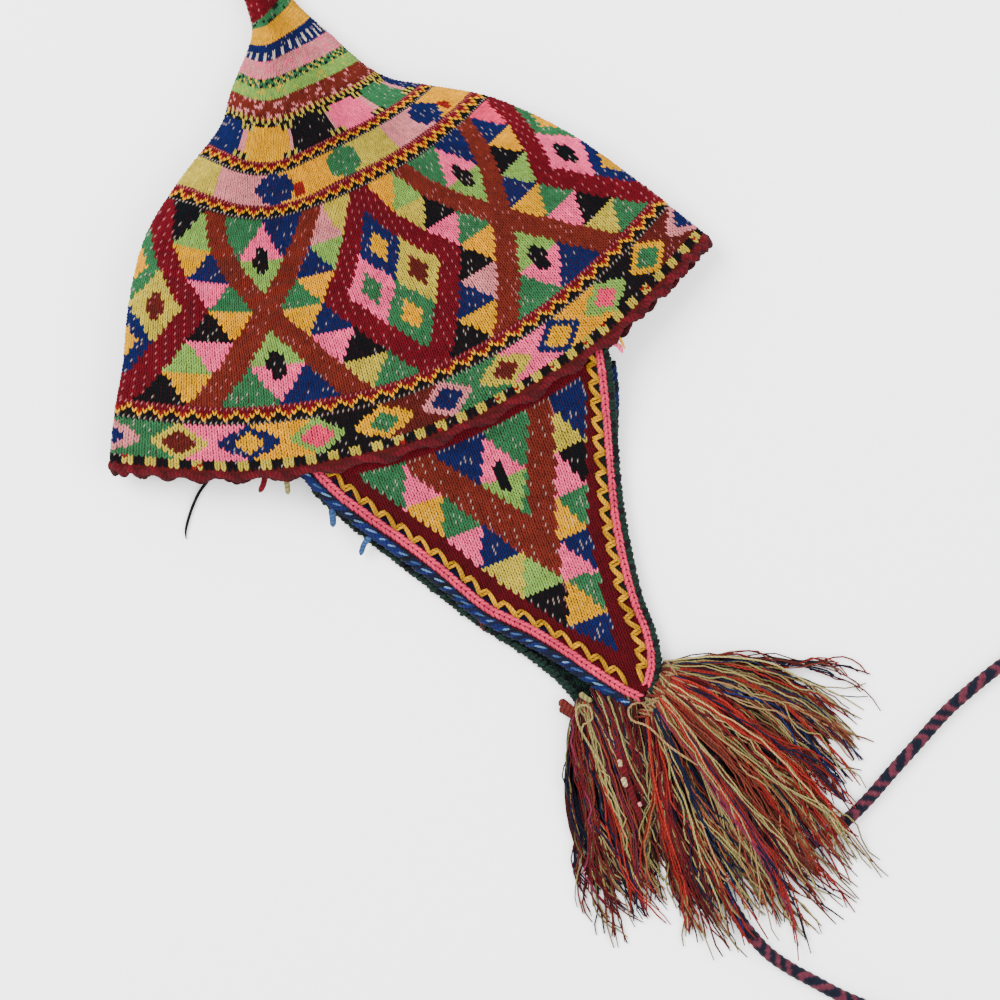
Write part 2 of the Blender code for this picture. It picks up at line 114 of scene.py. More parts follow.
# Outlines of the flaps: drop in shares of the flap's length, left and right in shares of its width
FRONT_OUTLINE = np.array((
    (0.00, -0.437, 0.554),
    (0.12, -0.379, 0.525),
    (0.30, -0.259, 0.464),
    (0.43, -0.173, 0.426),
    (0.58, -0.090, 0.397),
    (0.70, 0.013, 0.382),
    (0.80, 0.090, 0.382),
    (0.90, 0.157, 0.362),
    (0.97, 0.207, 0.315),
    (1.00, 0.233, 0.280),
))
BACK_OUTLINE = np.array((
    (0.00, -0.437, 0.566),
    (0.12, -0.379, 0.536),
    (0.31, -0.271, 0.452),
    (0.45, -0.192, 0.402),
    (0.61, -0.105, 0.344),
    (0.74, -0.020, 0.292),
    (0.85, 0.041, 0.245),
    (0.93, 0.073, 0.204),
    (0.98, 0.086, 0.163),
    (1.00, 0.099, 0.140),
))

# Routes of the ties in plan, metres, from the tassel's head to the free end
FRONT_TIE = np.array((
    (0.0463, -0.1556), (0.0487, -0.1594), (0.0502, -0.1652), (0.0513, -0.1780),
    (0.0526, -0.1925), (0.0550, -0.2070), (0.0580, -0.2165), (0.0622, -0.2215),
    (0.0680, -0.2231), (0.0740, -0.2228), (0.0821, -0.2216), (0.0907, -0.2190),
    (0.1006, -0.2146), (0.1110, -0.2090), (0.1247, -0.2020), (0.1384, -0.1950),
    (0.1499, -0.1906), (0.1613, -0.1869), (0.1740, -0.1836), (0.1850, -0.1815),
))
BACK_TIE = np.array((
    (0.0213, -0.1508), (0.0228, -0.1630), (0.0258, -0.1776), (0.0292, -0.1961),
    (0.0326, -0.2127), (0.0360, -0.2250), (0.0383, -0.2350), (0.0402, -0.2435),
    (0.0444, -0.2546), (0.0503, -0.2634), (0.0566, -0.2708), (0.0640, -0.2793),
    (0.0725, -0.2875), (0.0824, -0.2967),
))

# Dyed wools, sRGB
DYES = {
    "crimson": "500510",
    "dark_crimson": "40040B",
    "rust": "561B12",
    "maroon": "46140F",
    "navy": "09123C",
    "deep_navy": "06091F",
    "green": "235433",
    "dark_green": "0A1B15",
    "light_green": "64843A",
    "yellow": "B27D00",
    "gold": "BA7E00",
    "pink": "C9466B",
    "hot_pink": "B82D4C",
    "light_pink": "AD6568",
    "pale": "AA9A8E",
    "cream": "9A892E",
    "black": "05070A",
    "light_blue": "425F7E",
    "dusty_blue": "243B5C",
    "bone": "8C7A5C",
    "red": "6D150F",
    "rust_red": "572217",
    "orange": "64351F",
    "olive": "6D643C",
    "tan": "755B3B",
    "magenta": "4E1227",
    "rose": "481C28",
}


def linear(hexes):
    """An sRGB hex colour as linear red, green and blue."""
    values = [int(hexes[i:i + 2], 16) / 255 for i in (0, 2, 4)]
    return [v / 12.92 if v <= 0.04045 else ((v + 0.055) / 1.055) ** 2.4 for v in values]


DYE_NAMES = list(DYES)
DYE_LINEAR = np.array([linear(DYES[name]) for name in DYE_NAMES])
# The number of each dye, which the charts give
D = {name: i for i, name in enumerate(DYE_NAMES)}


# Camera: straight above the hat, its top turned to the photograph's upper left
CAMERA_AIM = (0.0119, -0.0620, 0.012)
CAMERA_DISTANCE = 1.8
CAMERA_TURN = math.radians(-21.0)
FIELD_WIDTH = 0.370
SENSOR = 36.0

camera_data = bpy.data.cameras.new("camera")
camera_data.sensor_width = SENSOR
camera_data.lens = SENSOR * CAMERA_DISTANCE / FIELD_WIDTH
camera = bpy.data.objects.new("camera", camera_data)
camera.location = (CAMERA_AIM[0], CAMERA_AIM[1], CAMERA_AIM[2] + CAMERA_DISTANCE)
camera.rotation_euler = (0.0, 0.0, CAMERA_TURN)
bpy.context.scene.collection.objects.link(camera)
bpy.context.scene.camera = camera


# Materials
def add_node(tree, kind, settings=(), links=()):
    """A node with its settings; links pair one of its inputs with another node's output."""
    node = tree.nodes.new(kind)
    for name, value in dict(settings).items():
        if isinstance(name, str) and hasattr(node, name):
            setattr(node, name, value)
        else:
            node.inputs[name].default_value = value
    for name, source in dict(links).items():
        tree.links.new(source, node.inputs[name])
    return node


def shaded(tree, dye, shades):
    """The dye times each of the shades."""
    shade = shades[0]
    for other in shades[1:]:
        shade = add_node(
            tree, "ShaderNodeMath", {"operation": "MULTIPLY"}, {0: shade, 1: other}
        ).outputs["Value"]
    return add_node(
        tree, "ShaderNodeVectorMath", {"operation": "SCALE"}, {0: dye, "Scale": shade}
    ).outputs["Vector"]


def fuzz(tree, size_mm, least, most):
    """Noise of that size as a shade between least and most, and the noise itself."""
    place = add_node(tree, "ShaderNodeTexCoord").outputs["Object"]
    noise = add_node(
        tree, "ShaderNodeTexNoise", {"Scale": 1000 / size_mm, "Detail": 2.0, "Roughness": 0.6},
        {"Vector": place},
    ).outputs["Fac"]
    shade = add_node(
        tree, "ShaderNodeMapRange",
        {"From Min": 0.3, "From Max": 0.7, "To Min": least, "To Max": most}, {"Value": noise},
    ).outputs["Result"]
    return shade, noise


def dyed_wool(name, fibre_mm, blotch_mm, roughness, sheen, ply_mm=None):
    """Wool in the dye of each stitch: dull and fibrous, with its plies twisted where ply_mm is given, and
    painted shade in the grooves between the plies.
    """
    material = bpy.data.materials.new(name)
    material.use_nodes = True
    tree = material.node_tree
    shader = tree.nodes["Principled BSDF"]
    dye = add_node(tree, "ShaderNodeAttribute", {"attribute_name": "dye"}).outputs["Color"]
    fibre_shade, relief = fuzz(tree, fibre_mm, 0.72, 1.28)
    blotch_shade, _ = fuzz(tree, blotch_mm, 0.88, 1.12)
    shades = [fibre_shade, blotch_shade]
    if ply_mm:
        run = add_node(tree, "ShaderNodeUVMap", {"uv_map": "ply"}).outputs["UV"]
        turn = add_node(
            tree, "ShaderNodeVectorMath",
            {"operation": "DOT_PRODUCT", 1: (4 * math.pi, 2 * math.pi / ply_mm, 0.0)}, {0: run},
        ).outputs["Value"]
        ridge = add_node(tree, "ShaderNodeMath", {"operation": "SINE"}, {0: turn}).outputs["Value"]
        # Painted shade: the dye darkened in the grooves between the twisted plies
        shades.append(add_node(
            tree, "ShaderNodeMapRange",
            {"From Min": -1.0, "From Max": 0.6, "To Min": 0.55, "To Max": 1.08}, {"Value": ridge},
        ).outputs["Result"])
        relief = add_node(
            tree, "ShaderNodeMath", {"operation": "MULTIPLY_ADD", 1: 0.35}, {0: ridge, 2: relief}
        ).outputs["Value"]
    bump = add_node(tree, "ShaderNodeBump", {"Strength": 0.6, "Distance": 0.0002}, {"Height": relief})
    tree.links.new(shaded(tree, dye, shades), shader.inputs["Base Color"])
    tree.links.new(bump.outputs["Normal"], shader.inputs["Normal"])
    shader.inputs["Roughness"].default_value = roughness
    shader.inputs["Sheen Weight"].default_value = sheen
    shader.inputs["Sheen Roughness"].default_value = 0.5
    shader.inputs["Specular IOR Level"].default_value = 0.08
    return material


# Fine two-ply wool, hand spun and hand knitted: dull, slightly hairy
knit_wool = dyed_wool("hand_spun_knit_wool", 0.4, 9.0, 0.95, 0.01)
# The same wool pulled tight into crochet: smoother, its plies showing
crochet_wool = dyed_wool("crochet_wool", 0.5, 6.0, 0.85, 0.03, 1.3)
# Loose yarn of the tassels: combed, its plies showing along it
tassel_yarn = dyed_wool("loose_two_ply_yarn", 0.6, 12.0, 0.8, 0.03, 1.7)
# Tightly braided cord
braid_wool = dyed_wool("braided_wool", 0.5, 6.0, 0.85, 0.03)


# Surfaces of the hat
def rows_at(table, t):
    """The table's rows at t, a smooth curve through them; straight on past its ends."""
    last = len(table) - 1
    i = np.clip(np.floor(t).astype(int), 0, last - 1)
    f = (t - i)[..., None]
    before = table[np.maximum(i - 1, 0)]
    here = table[i]
    after = table[i + 1]
    beyond = table[np.minimum(i + 2, last)]
    slope_here = np.where((i > 0)[..., None], (after - before) / 2, after - here)
    slope_after = np.where((i + 2 <= last)[..., None], (beyond - here) / 2, after - here)
    curve = (
        here * (2 * f**3 - 3 * f**2 + 1)
        + slope_here * (f**3 - 2 * f**2 + f)
        + after * (3 * f**2 - 2 * f**3)
        + slope_after * (f**3 - f**2)
    )
    return np.where((f < 0) | (f > 1), here + (after - here) * f, curve)


def crown_wall(t, u, top, inset):
    """Points of the crown's wall: row t, u from -1 at the left fold to 1 at the right one."""
    left, right, left_y, right_y, height, sag = np.moveaxis(rows_at(CROWN_SECTIONS, t), -1, 0)
    left = left * RIM_WIDTH / 2 + inset
    right = right * RIM_WIDTH / 2 - inset
    share = (u + 1) / 2
    x = left + (right - left) * share
    y = (left_y + (right_y - left_y) * share) * CROWN_LENGTH - sag * (right - left) / 2 * (1 - u * u)
    height = height * CROWN_HEIGHT
    fold = FOLD_RISE * height
    ease = np.clip(1 - np.maximum(t, 0.0) / RIPPLE_ROWS, 0.0, None) ** 2
    over = fold + (height - inset - fold) * np.clip(1 - np.abs(u) ** DOME_POWER, 0.0, None) ** DOME_ROUND
    over += RIPPLE_HEIGHT * ease * np.sin(math.pi * RIPPLES * u) * (1 - u * u)
    bend = np.clip(np.abs(u) - FLAT_SHARE, 0.0, None) / (1 - FLAT_SHARE)
    under = fold - (fold - inset) * np.sqrt(np.clip(1 - bend * bend, 0.0, None))
    return np.stack((x, y, np.where(top, over, under)), axis=-1)


def crown_round(t, around, inset):
    """Points of the crown's wall, around from 0 at the left fold to 1 over the top, to 2 underneath."""
    around = np.mod(around, 2.0)
    top = around < 1
    s = np.where(top, 2 * around - 1, 3 - 2 * around)
    wrap = np.clip((t - WRAP_START) / (WRAP_END - WRAP_START), 0, 1) * WRAP_MOST
    u = (1 - wrap) * s + wrap * np.sin(math.pi / 2 * s)
    u = u + COLUMN_LEAN * (1 - s * s) * (1 + 0.9 * s)
    return crown_wall(t, np.clip(np.where(top, u, s), -1.0, 1.0), top, inset)


def crown_place(t, around, out, inset=STITCH_RELIEF):
    """Points that far out of the crown's wall, square to it."""
    step_t = 0.04
    step_a = 0.004
    along = crown_round(t + step_t, around, inset) - crown_round(t - step_t, around, inset)
    across = crown_round(t, around + step_a, inset) - crown_round(t, around - step_a, inset)
    normal = np.cross(across, along)
    normal /= np.linalg.norm(normal, axis=-1, keepdims=True) + 1e-12
    return crown_round(t, around, inset) + normal * np.asarray(out)[..., None]


def rim_line(x):
    """The outer points of the knit's lower edge, on the upper layer, at those x."""
    left, right = CROWN_SECTIONS[KNIT_EDGE_ROW][:2] * RIM_WIDTH / 2
    u = np.clip(2 * (x - left) / (right - left) - 1, -1.0, 1.0)
    return crown_wall(np.full_like(u, KNIT_EDGE_ROW), u, np.ones_like(u, dtype=bool), 0.0)


RIM_MIDDLE_Y = rim_line(np.zeros(1))[0, 1]


def front_base(x, y):
    """Height of the front flap's underside: from behind the rim's edging down to the back flap."""
    rest = FLAP_EDGE_THICKNESS + GAP
    rim = rim_line(x)
    start = rim[..., 2] - RIM_EDGE_THICKNESS - 2 * GAP - KNIT_THICKNESS
    s = np.clip((rim[..., 1] - y) / FLAP_DROP_RUN, 0.0, 1.0)
    return rest + (start - rest) * (1 - s) ** 2 * (1 + s)


def flat_base(x, y):
    """Height of the back flap's underside: it lies on the surface."""
    return np.zeros_like(x)


RIM_EDGE_DEPTH = (CROWN_SECTIONS[KNIT_EDGE_ROW, 2] - CROWN_SECTIONS[0, 2]) * CROWN_LENGTH
BACK_FLAP_GAP = RIM_EDGE_DEPTH * (1 + SCALLOP_SHARE) + GAP

Flap = namedtuple("Flap", "name outline length top_gap base")
FRONT = Flap("front", FRONT_OUTLINE, FLAP_LENGTH_FRONT, 0.0, front_base)
BACK = Flap("back", BACK_OUTLINE, FLAP_LENGTH_BACK, BACK_FLAP_GAP, flat_base)


def flap_y(flap, x, drop):
    """How far up a point of the flap is. The rim's curve fades out towards the tip."""
    arc = (rim_line(x)[..., 1] - RIM_MIDDLE_Y) * (1 - np.clip(drop, 0.0, 1.0)) ** 2
    return RIM_MIDDLE_Y - flap.top_gap - flap.length * drop + arc


def outline_at(flap, drop):
    """Left and right x of the flap's outline at those drops."""
    fine = rows_at(flap.outline, np.linspace(0, len(flap.outline) - 1, 400))
    left = np.interp(drop, fine[:, 0], fine[:, 1]) * FLAP_WIDTH
    right = np.interp(drop, fine[:, 0], fine[:, 2]) * FLAP_WIDTH
    return left, right


def flap_surface(flap, x, drop, up):
    """Points that far above the flap's underside."""
    y = flap_y(flap, x, drop)
    return np.stack((x, y, flap.base(x, y) + up), axis=-1)


def side_line(flap, side, inset, first=0.0, last=1.0, count=240):
    """A line in plan along one side of a flap, from rim to tip, that far inside its outline."""
    drop = np.linspace(first, last, count)
    left, right = outline_at(flap, drop)
    x = left if side == "left" else right
    line = np.stack((x, flap_y(flap, x, drop)), axis=-1)
    way = np.gradient(line, axis=0)
    way /= np.linalg.norm(way, axis=1, keepdims=True)
    inward = np.stack((-way[:, 1], way[:, 0]), axis=-1)
    if side == "right":
        inward = -inward
    return line + inward * inset


def spaced(line, count=None, step=None):
    """Points evenly spaced along a line."""
    lengths = np.concatenate(([0.0], np.cumsum(np.linalg.norm(np.diff(line, axis=0), axis=1))))
    if count is None:
        count = max(int(round(lengths[-1] / step)), 1) + 1
    places = np.linspace(0, lengths[-1], count)
    return np.stack([np.interp(places, lengths, line[:, k]) for k in range(line.shape[1])], axis=-1)


# Meshes
def tube_faces(rings, sides):
    """Quads between closed rings of points, each ring with that many sides."""
    i = (np.arange(rings - 1) * sides)[:, None]
    j = np.arange(sides)[None]
    k = (j + 1) % sides
    return np.stack((i + j, i + k, i + sides + k, i + sides + j), axis=-1).reshape(-1, 4).tolist()


def add_piece(name, parts, material):
    """A mesh piece that rides with the hat, from points, faces, dyes of the points and runs in mm."""
    points, faces, colours, *runs = parts
    mesh = bpy.data.meshes.new(name)
    mesh.from_pydata(points.tolist(), [], faces if isinstance(faces, list) else faces.tolist())
    mesh.shade_smooth()
    layer = mesh.color_attributes.new("dye", "FLOAT_COLOR", "POINT")
    rgba = np.ones((len(points), 4), dtype=np.float32)
    rgba[:, :3] = colours
    layer.data.foreach_set("color", rgba.ravel())
    if runs:
        mesh.uv_layers.new(name="ply")
        mesh.uv_layers["ply"].data.foreach_set("uv", runs[0].astype(np.float32).ravel())
    mesh.materials.append(material)
    piece = bpy.data.objects.new(name, mesh)
    bpy.context.scene.collection.objects.link(piece)
    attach(piece, "root")
    return piece


def model_stitch():
    """One knit stitch, modelled in shares of its column, its row and its relief: two legs in a V."""
    bpy.ops.object.select_all(action="DESELECT")
    bpy.ops.mesh.primitive_grid_add(x_subdivisions=2, y_subdivisions=2, size=1.0, location=(0, 0, 0))
    leg = bpy.context.object
    bpy.ops.object.mode_set(mode="EDIT")
    bm = bmesh.from_edit_mesh(leg.data)
    for x_most, y_least, move, size in (
        (0.1, -1.0, (0.0, 0.0, 1.0), None),
        (0.1, 0.4, (0.0, 0.0, -0.45), None),
        (1.0, 0.4, None, (0.55, 1.0, 1.0)),
    ):
        bpy.ops.mesh.select_all(action="DESELECT")
        for vert in bm.verts:
            vert.select = abs(vert.co.x) < x_most and abs(vert.co.y) > y_least
        bm.select_flush(True)
        if move:
            bpy.ops.transform.translate(value=move)
        else:
            bpy.ops.transform.resize(value=size)
    bpy.ops.object.mode_set(mode="OBJECT")
    shape = np.array([v.co[:] for v in leg.data.vertices])
    faces = np.array([p.vertices[:] for p in leg.data.polygons])
    bpy.data.objects.remove(leg)
    left = np.stack(
        (0.26 + 0.48 * shape[:, 0] - 0.28 * shape[:, 1], 0.5 + 1.42 * shape[:, 1], shape[:, 2]), axis=-1
    )
    right = left * (-1, 1, 1) + (1, 0, 0)
    return np.concatenate((left, right)), np.concatenate((faces, faces[:, ::-1] + len(left)))


STITCH, STITCH_FACES = model_stitch()
# The one point of a stitch that a fleck colours
FLECKED_POINT = np.isclose(STITCH[:, 1], 0.5) & np.isclose(STITCH[:, 0], 0.74)


def lay_stitches(columns, rows, dyes, place, flecks=None, looseness=0.035):
    """A stitch at each column and row, in its dye with painted shade at the edges of its legs; place
    turns column, row and relief into points.
    """
    count = len(columns)
    sway = 0.10 * np.sin(rows * 0.23 + 1.3 * np.sin(columns * 0.11))
    lift = 0.12 * np.sin(columns * 0.19 + 1.7 * np.sin(rows * 0.17))
    a = columns[:, None] + STITCH[:, 0] + (sway + rng.normal(0, looseness, count))[:, None]
    b = rows[:, None] + STITCH[:, 1] + (lift + rng.normal(0, looseness, count))[:, None]
    relief = STITCH[:, 2] * (1 + rng.normal(0, 0.10, count))[:, None]
    points = place(a, b, relief).reshape(-1, 3)
    faces = (STITCH_FACES[None] + (np.arange(count) * len(STITCH))[:, None, None]).reshape(-1, 4)
    # Painted shade: each leg darker towards its edges, where the yarn dips between stitches
    painted_crevice_shade = 0.45 + 0.55 * np.clip(STITCH[:, 2], 0, 1) ** 0.7
    shade = (1 + rng.normal(0, 0.09, count))[:, None] * painted_crevice_shade
    colours = DYE_LINEAR[dyes][:, None] * shade[..., None]
    if flecks is not None:
        spots = (flecks >= 0)[:, None] & FLECKED_POINT
        mixed = (DYE_LINEAR[flecks] + DYE_LINEAR[dyes])[:, None] * 0.5
        colours = np.where(spots[..., None], mixed, colours)
    return points, faces, colours.reshape(-1, 3)


def gather(parts):
    """Several lots of points, faces, colours and runs as one."""
    lots = [[] for _ in parts[0]]
    start = 0
    for part in parts:
        for lot, values in zip(lots, part):
            lot.append(values + start if lot is lots[1] else values)
        start += len(part[0])
    return [np.concatenate(lot) for lot in lots]


def yarns(paths, radii, sides, colours):
    """Round closed yarns along paths (yarn, station, xyz), with radii and colours per station."""
    count, stations = paths.shape[:2]
    radii = np.broadcast_to(radii, (count, stations))
    colours = np.broadcast_to(colours, (count, stations, 3))
    way = np.gradient(paths, axis=1)
    way /= np.linalg.norm(way, axis=2, keepdims=True) + 1e-12
    side = np.cross(way, (0.0, 0.0, 1.0))
    side /= np.linalg.norm(side, axis=2, keepdims=True) + 1e-9
    rise = np.cross(side, way)
    angle = 2 * math.pi * (np.arange(sides) + 0.5) / sides
    ring = (
        np.cos(angle)[None, None, :, None] * side[:, :, None]
        + np.sin(angle)[None, None, :, None] * rise[:, :, None]
    )
    points = (paths[:, :, None] + radii[:, :, None, None] * ring).reshape(-1, 3)
    first = (np.arange(count) * stations * sides)[:, None, None]
    i = (np.arange(stations - 1) * sides)[None, :, None]
    j = np.arange(sides)[None, None, :]
    k = (j + 1) % sides
    walls = np.stack(
        (first + i + j, first + i + sides + j, first + i + sides + k, first + i + k), axis=-1
    ).reshape(-1, 4)
    fan = np.array([(0, m, m + 1, m + 2) for m in range(1, sides - 1, 2)])
    near = (fan[None] + first).reshape(-1, 4)
    far = (fan[None, :, ::-1] + first + (stations - 1) * sides).reshape(-1, 4)
    steps = np.linalg.norm(np.diff(paths, axis=1), axis=2) * 1000
    walked = np.concatenate((np.zeros((count, 1)), np.cumsum(steps, axis=1)), axis=1)
    walked += rng.random((count, 1)) * 5
    here = np.broadcast_to(walked[:, :-1, None], (count, stations - 1, sides))
    there = np.broadcast_to(walked[:, 1:, None], (count, stations - 1, sides))
    turn = np.broadcast_to(np.arange(sides)[None, None] / sides, here.shape)
    runs = np.stack((
        np.stack((turn, here), axis=-1), np.stack((turn, there), axis=-1),
        np.stack((turn + 1 / sides, there), axis=-1), np.stack((turn + 1 / sides, here), axis=-1),
    ), axis=3).reshape(-1, 2)
    runs = np.concatenate((runs, np.zeros((4 * (len(near) + len(far)), 2))))
    faces = np.concatenate((walls, near, far))
    return points, faces, np.repeat(colours.reshape(-1, 3), sides, axis=0), runs


# Patterns of the crown, charted stitch by stitch. c: column, from the left fold. r: row of the band.
def pick(*choices, default):
    """The dye of the first condition that holds; a dye is a name, a number or an array of numbers."""
    conditions, dyes = zip(*choices)
    numbers = [D[dye] if isinstance(dye, str) else dye for dye in (*dyes, default)]
    filled = [np.broadcast_to(number, conditions[0].shape) for number in numbers[:-1]]
    return np.select(conditions, filled, numbers[-1])


def chance(c, r, salt):
    """A steady random number from 0 to 1 for each stitch."""
    value = np.sin(c * 12.9898 + r * 78.233 + salt * 37.719) * 43758.5453
    return value - np.floor(value)


def is_any(dyes, *names):
    """Whether each dye is one of those named."""
    return np.isin(dyes, [D[name] for name in names])


def peeping_yarn_and_glints(dyes, c, r):
    """Where pale yarn that is carried behind the knitting peeps through, and pale painted highlights on
    the fuzz of dark stitches: their dye, or -1.
    """
    framed = is_any(dyes, "crimson") & (np.mod(c + 2 * r, 4) == 0) & (chance(c, r, 7) < 0.8)
    # Painted highlights: pale flecks on some navy, black and green stitches stand for light catching
    # their fuzz
    dark = is_any(dyes, "navy", "black", "green", "deep_navy") & (chance(c, r, 3) < 0.12)
    brown = is_any(dyes, "maroon", "rust") & (chance(c, r, 8) < 0.14)
    return pick((framed | brown, "light_pink"), (dark, "pale"), default=-1)


def checkers(c, r):
    """Black and cream in turn, two stitches each."""
    return pick((np.mod(c, 4) < 2, "black"), (chance(c, r, 5) < 0.08, "red"), default="cream")


DIAMOND_PERIOD = 12.5
DIAMOND_START = -0.5
DIAMOND_REACH = (5.6, 5.4)
DIAMOND_HEART = (3.0, 3.1)
DIAMOND_GROUNDS = ("green", "pink", "gold", "black", "maroon")
DIAMOND_FRAMES = ("light_pink", "cream", "navy", "light_green", "yellow")
DIAMOND_HEARTS = ("navy", "maroon", "yellow", "hot_pink", "green")
DIAMOND_ROWS = 10


def diamond_row(c, r):
    """A row of small diamonds, each on the seam of two grounds."""
    place = (c + 0.5 - DIAMOND_START) / DIAMOND_PERIOD
    ground = np.array([D[name] for name in DIAMOND_GROUNDS])[np.mod(np.floor(place).astype(int), 5)]
    near = np.round(place).astype(int)
    across = np.abs(place - near) * DIAMOND_PERIOD
    up = np.abs(r - (DIAMOND_ROWS - 1) / 2)
    frames = np.array([D[name] for name in DIAMOND_FRAMES])[np.mod(near, 5)]
    hearts = np.array([D[name] for name in DIAMOND_HEARTS])[np.mod(near, 5)]
    return pick(
        (across / DIAMOND_HEART[0] + up / DIAMOND_HEART[1] < 1, hearts),
        (across / DIAMOND_REACH[0] + up / DIAMOND_REACH[1] < 1, frames),
        default=ground,
    )


def wave_border(c, r):
    """A yellow wave four stitches long, black below it and crimson above."""
    phase = np.mod(c, 4)
    return pick(
        ((r == 1) & (phase == 0), "gold"),
        (r <= 1, "black"),
        ((r == 2) & (phase == 0), "red"),
        ((r == 2) & (phase == 2), "black"),
        (r == 2, "gold"),
        ((r == 3) & (phase == 2), "gold"),
        default="crimson",
    )


def wave_border_yarn(r):
    """The thin pale line along each side of a wave border."""
    return pick((r == 0, "pale"), (r == 4, "light_pink"), default=-1)


# The wide band: four diamonds and four crosses round the crown
UNIT = 50
WIDE_ROWS = 48
HEART_REACH = 9.5
FRAME_REACH = 14.5
STRIP_REACH = 22.5
CROSS_REACH = 27.5
LEVEL_ROWS = 8
WIDE_STITCHES = 250
WIDE_KNIT_ROWS = 54
# Triangles of the strips, from the top level to the lowest: point down, point up
STRIP_A = (("black", "light_green"), ("yellow", "navy"), ("pink", "green"),
           ("gold", "black"), ("pink", "light_green"), ("yellow", "black"))
STRIP_B = (("cream", "light_pink"), ("light_green", "navy"), ("gold", "green"),
           ("yellow", "navy"), ("pink", "black"), ("cream", "green"))
STRIP_C = (("gold", "light_green"), ("cream", "black"), ("pink", "green"),
           ("gold", "black"), ("light_pink", "navy"), ("yellow", "black"))
STRIP_D = (("hot_pink", "navy"), ("gold", "black"), ("light_green", "navy"),
           ("yellow", "green"), ("pink", "black"), ("cream", "green"))
# Left and right strip of each large diamond, from the one on the left fold
STRIPS = ((STRIP_C, STRIP_A), (STRIP_B, STRIP_C), (STRIP_D, STRIP_A), (STRIP_B, STRIP_D))
# Small diamonds inside each large one: top, right, left, bottom, each with its dot
HEARTS = (
    (("green", "gold"), ("cream", "maroon"), ("pink", "green"), ("navy", "yellow")),
    (("navy", "yellow"), ("cream", "maroon"), ("pink", "green"), ("green", "gold")),
    (("green", "gold"), ("light_pink", "navy"), ("pink", "black"), ("navy", "yellow")),
    (("navy", "yellow"), ("cream", "maroon"), ("pink", "green"), ("green", "gold")),
)


def dye_table(names):
    """The same nested table with the dyes' numbers."""
    return D[names] if isinstance(names, str) else [dye_table(item) for item in names]


def wide_band(c, r):
    """Large framed diamonds, strips of triangles along them, and crosses between."""
    x = (c + 0.5) * 4 * UNIT / WIDE_STITCHES
    y = (r + 0.5) * WIDE_ROWS / WIDE_KNIT_ROWS
    k = np.mod(np.floor((x + UNIT / 2) / UNIT).astype(int), 4)
    d = np.mod(x + UNIT / 2, UNIT) - UNIT / 2
    v = y - WIDE_ROWS / 2
    q = np.abs(d) + np.abs(v) / 2
    right = d > 0
    level = np.clip(5 - np.floor(y / LEVEL_ROWS), 0, 5).astype(int)
    p = q - FRAME_REACH
    g = np.mod(y, LEVEL_ROWS)
    points_up = np.where(v > 0, p >= g, p <= LEVEL_ROWS - g)
    strip = np.array(dye_table(STRIPS))[k, right.astype(int), level, points_up.astype(int)]
    a = d + v / 2
    b = d - v / 2
    which = np.select([(a > 0) & (b <= 0), (a > 0) & (b > 0), (a <= 0) & (b <= 0)], [0, 1, 2], 3)
    dot = (np.abs(np.abs(a) - 4.75) < 2.1) & (np.abs(np.abs(b) - 4.75) < 2.1)
    heart = np.array(dye_table(HEARTS))[k, which, dot.astype(int)]
    e = np.where(right, d - UNIT / 2, d + UNIT / 2)
    out = np.abs(v) - 14.2
    lens = (e / 1.5) ** 2 + (out / 3.7) ** 2 < 1
    rhombus = np.abs(e) + np.abs(out) / 2 < 4.7
    notch = pick(
        (lens, "black"), (rhombus & (out > 0), "pink"), (rhombus, "light_green"), (e < 0, "green"),
        default="navy",
    )
    return pick(
        (q < HEART_REACH, heart), (q < FRAME_REACH, "crimson"), (q < STRIP_REACH, strip),
        (q < CROSS_REACH, "rust"), default=notch,
    )


BLOB_WIDTH = 11.1
BLOB_START = 50.0
BLOB_ROWS = 10
BLOBS = ("green", "cream", "light_pink", "navy", "gold")


def blob_band(c, r):
    """Rounded patches: a green oval, cream, light pink, a navy star and gold."""
    place = (c + 0.5 - BLOB_START) / BLOB_WIDTH
    i = np.round(place).astype(int)
    x = (place - i) * 2
    y = (r - (BLOB_ROWS - 1) / 2) / (BLOB_ROWS / 2)
    kind = np.mod(i, 5)
    fill = np.array(dye_table(BLOBS))[kind]
    star = (kind == 3) & (np.maximum(np.abs(x), np.abs(y)) > 0.72) & (np.abs(x) + np.abs(y) > 1.2)
    oval = (kind == 0) & (x * x + y * y > 0.95)
    spot = (kind == 4) & (((x + 0.80) / 0.34) ** 2 + ((y + 0.42) / 0.42) ** 2 < 1)
    return pick(
        (star & (x < 0), "light_pink"), (star, "gold"), (oval & (x < 0), "gold"), (oval, "cream"),
        (spot, "red"), default=fill,
    )


BLOCK_WIDTH = 15.2
BLOCK_START = 35.0
BLOCK_ROWS = 11
BLOCKS = ("black", "pink", "green", "navy", "yellow")


def block_band(c, r):
    """Rounded squares with pale upright lines between them."""
    place = (c + 0.5 - BLOCK_START) / BLOCK_WIDTH
    i = np.round(place).astype(int)
    x = np.abs(place - i) * 2
    y = np.abs(r - (BLOCK_ROWS - 1) / 2) / (BLOCK_ROWS / 2)
    fill = np.array(dye_table(BLOCKS))[np.mod(i, 5)]
    corner = (x > 0.66) & (y > 0.72)
    seam = x > 0.90
    return pick((seam & (y < 0.72), "light_pink"), (corner & (np.mod(c, 2) == 0), "cream"),
                (corner, "black"), default=fill)


def dotted_rows(c, r):
    """Black, then cream dots, then crimson with cream between."""
    even = np.mod(c, 2) == 0
    return pick(
        ((r == 0) & (np.mod(c, 4) > 0), "black"),
        (r == 0, "cream"),
        ((r == 1) & even, "black"),
        (r == 1, "cream"),
        ((r == 2) & even, "crimson"),
        (r == 2, "cream"),
        (chance(c, r, 2) < 0.3, "light_pink"),
        default="maroon",
    )


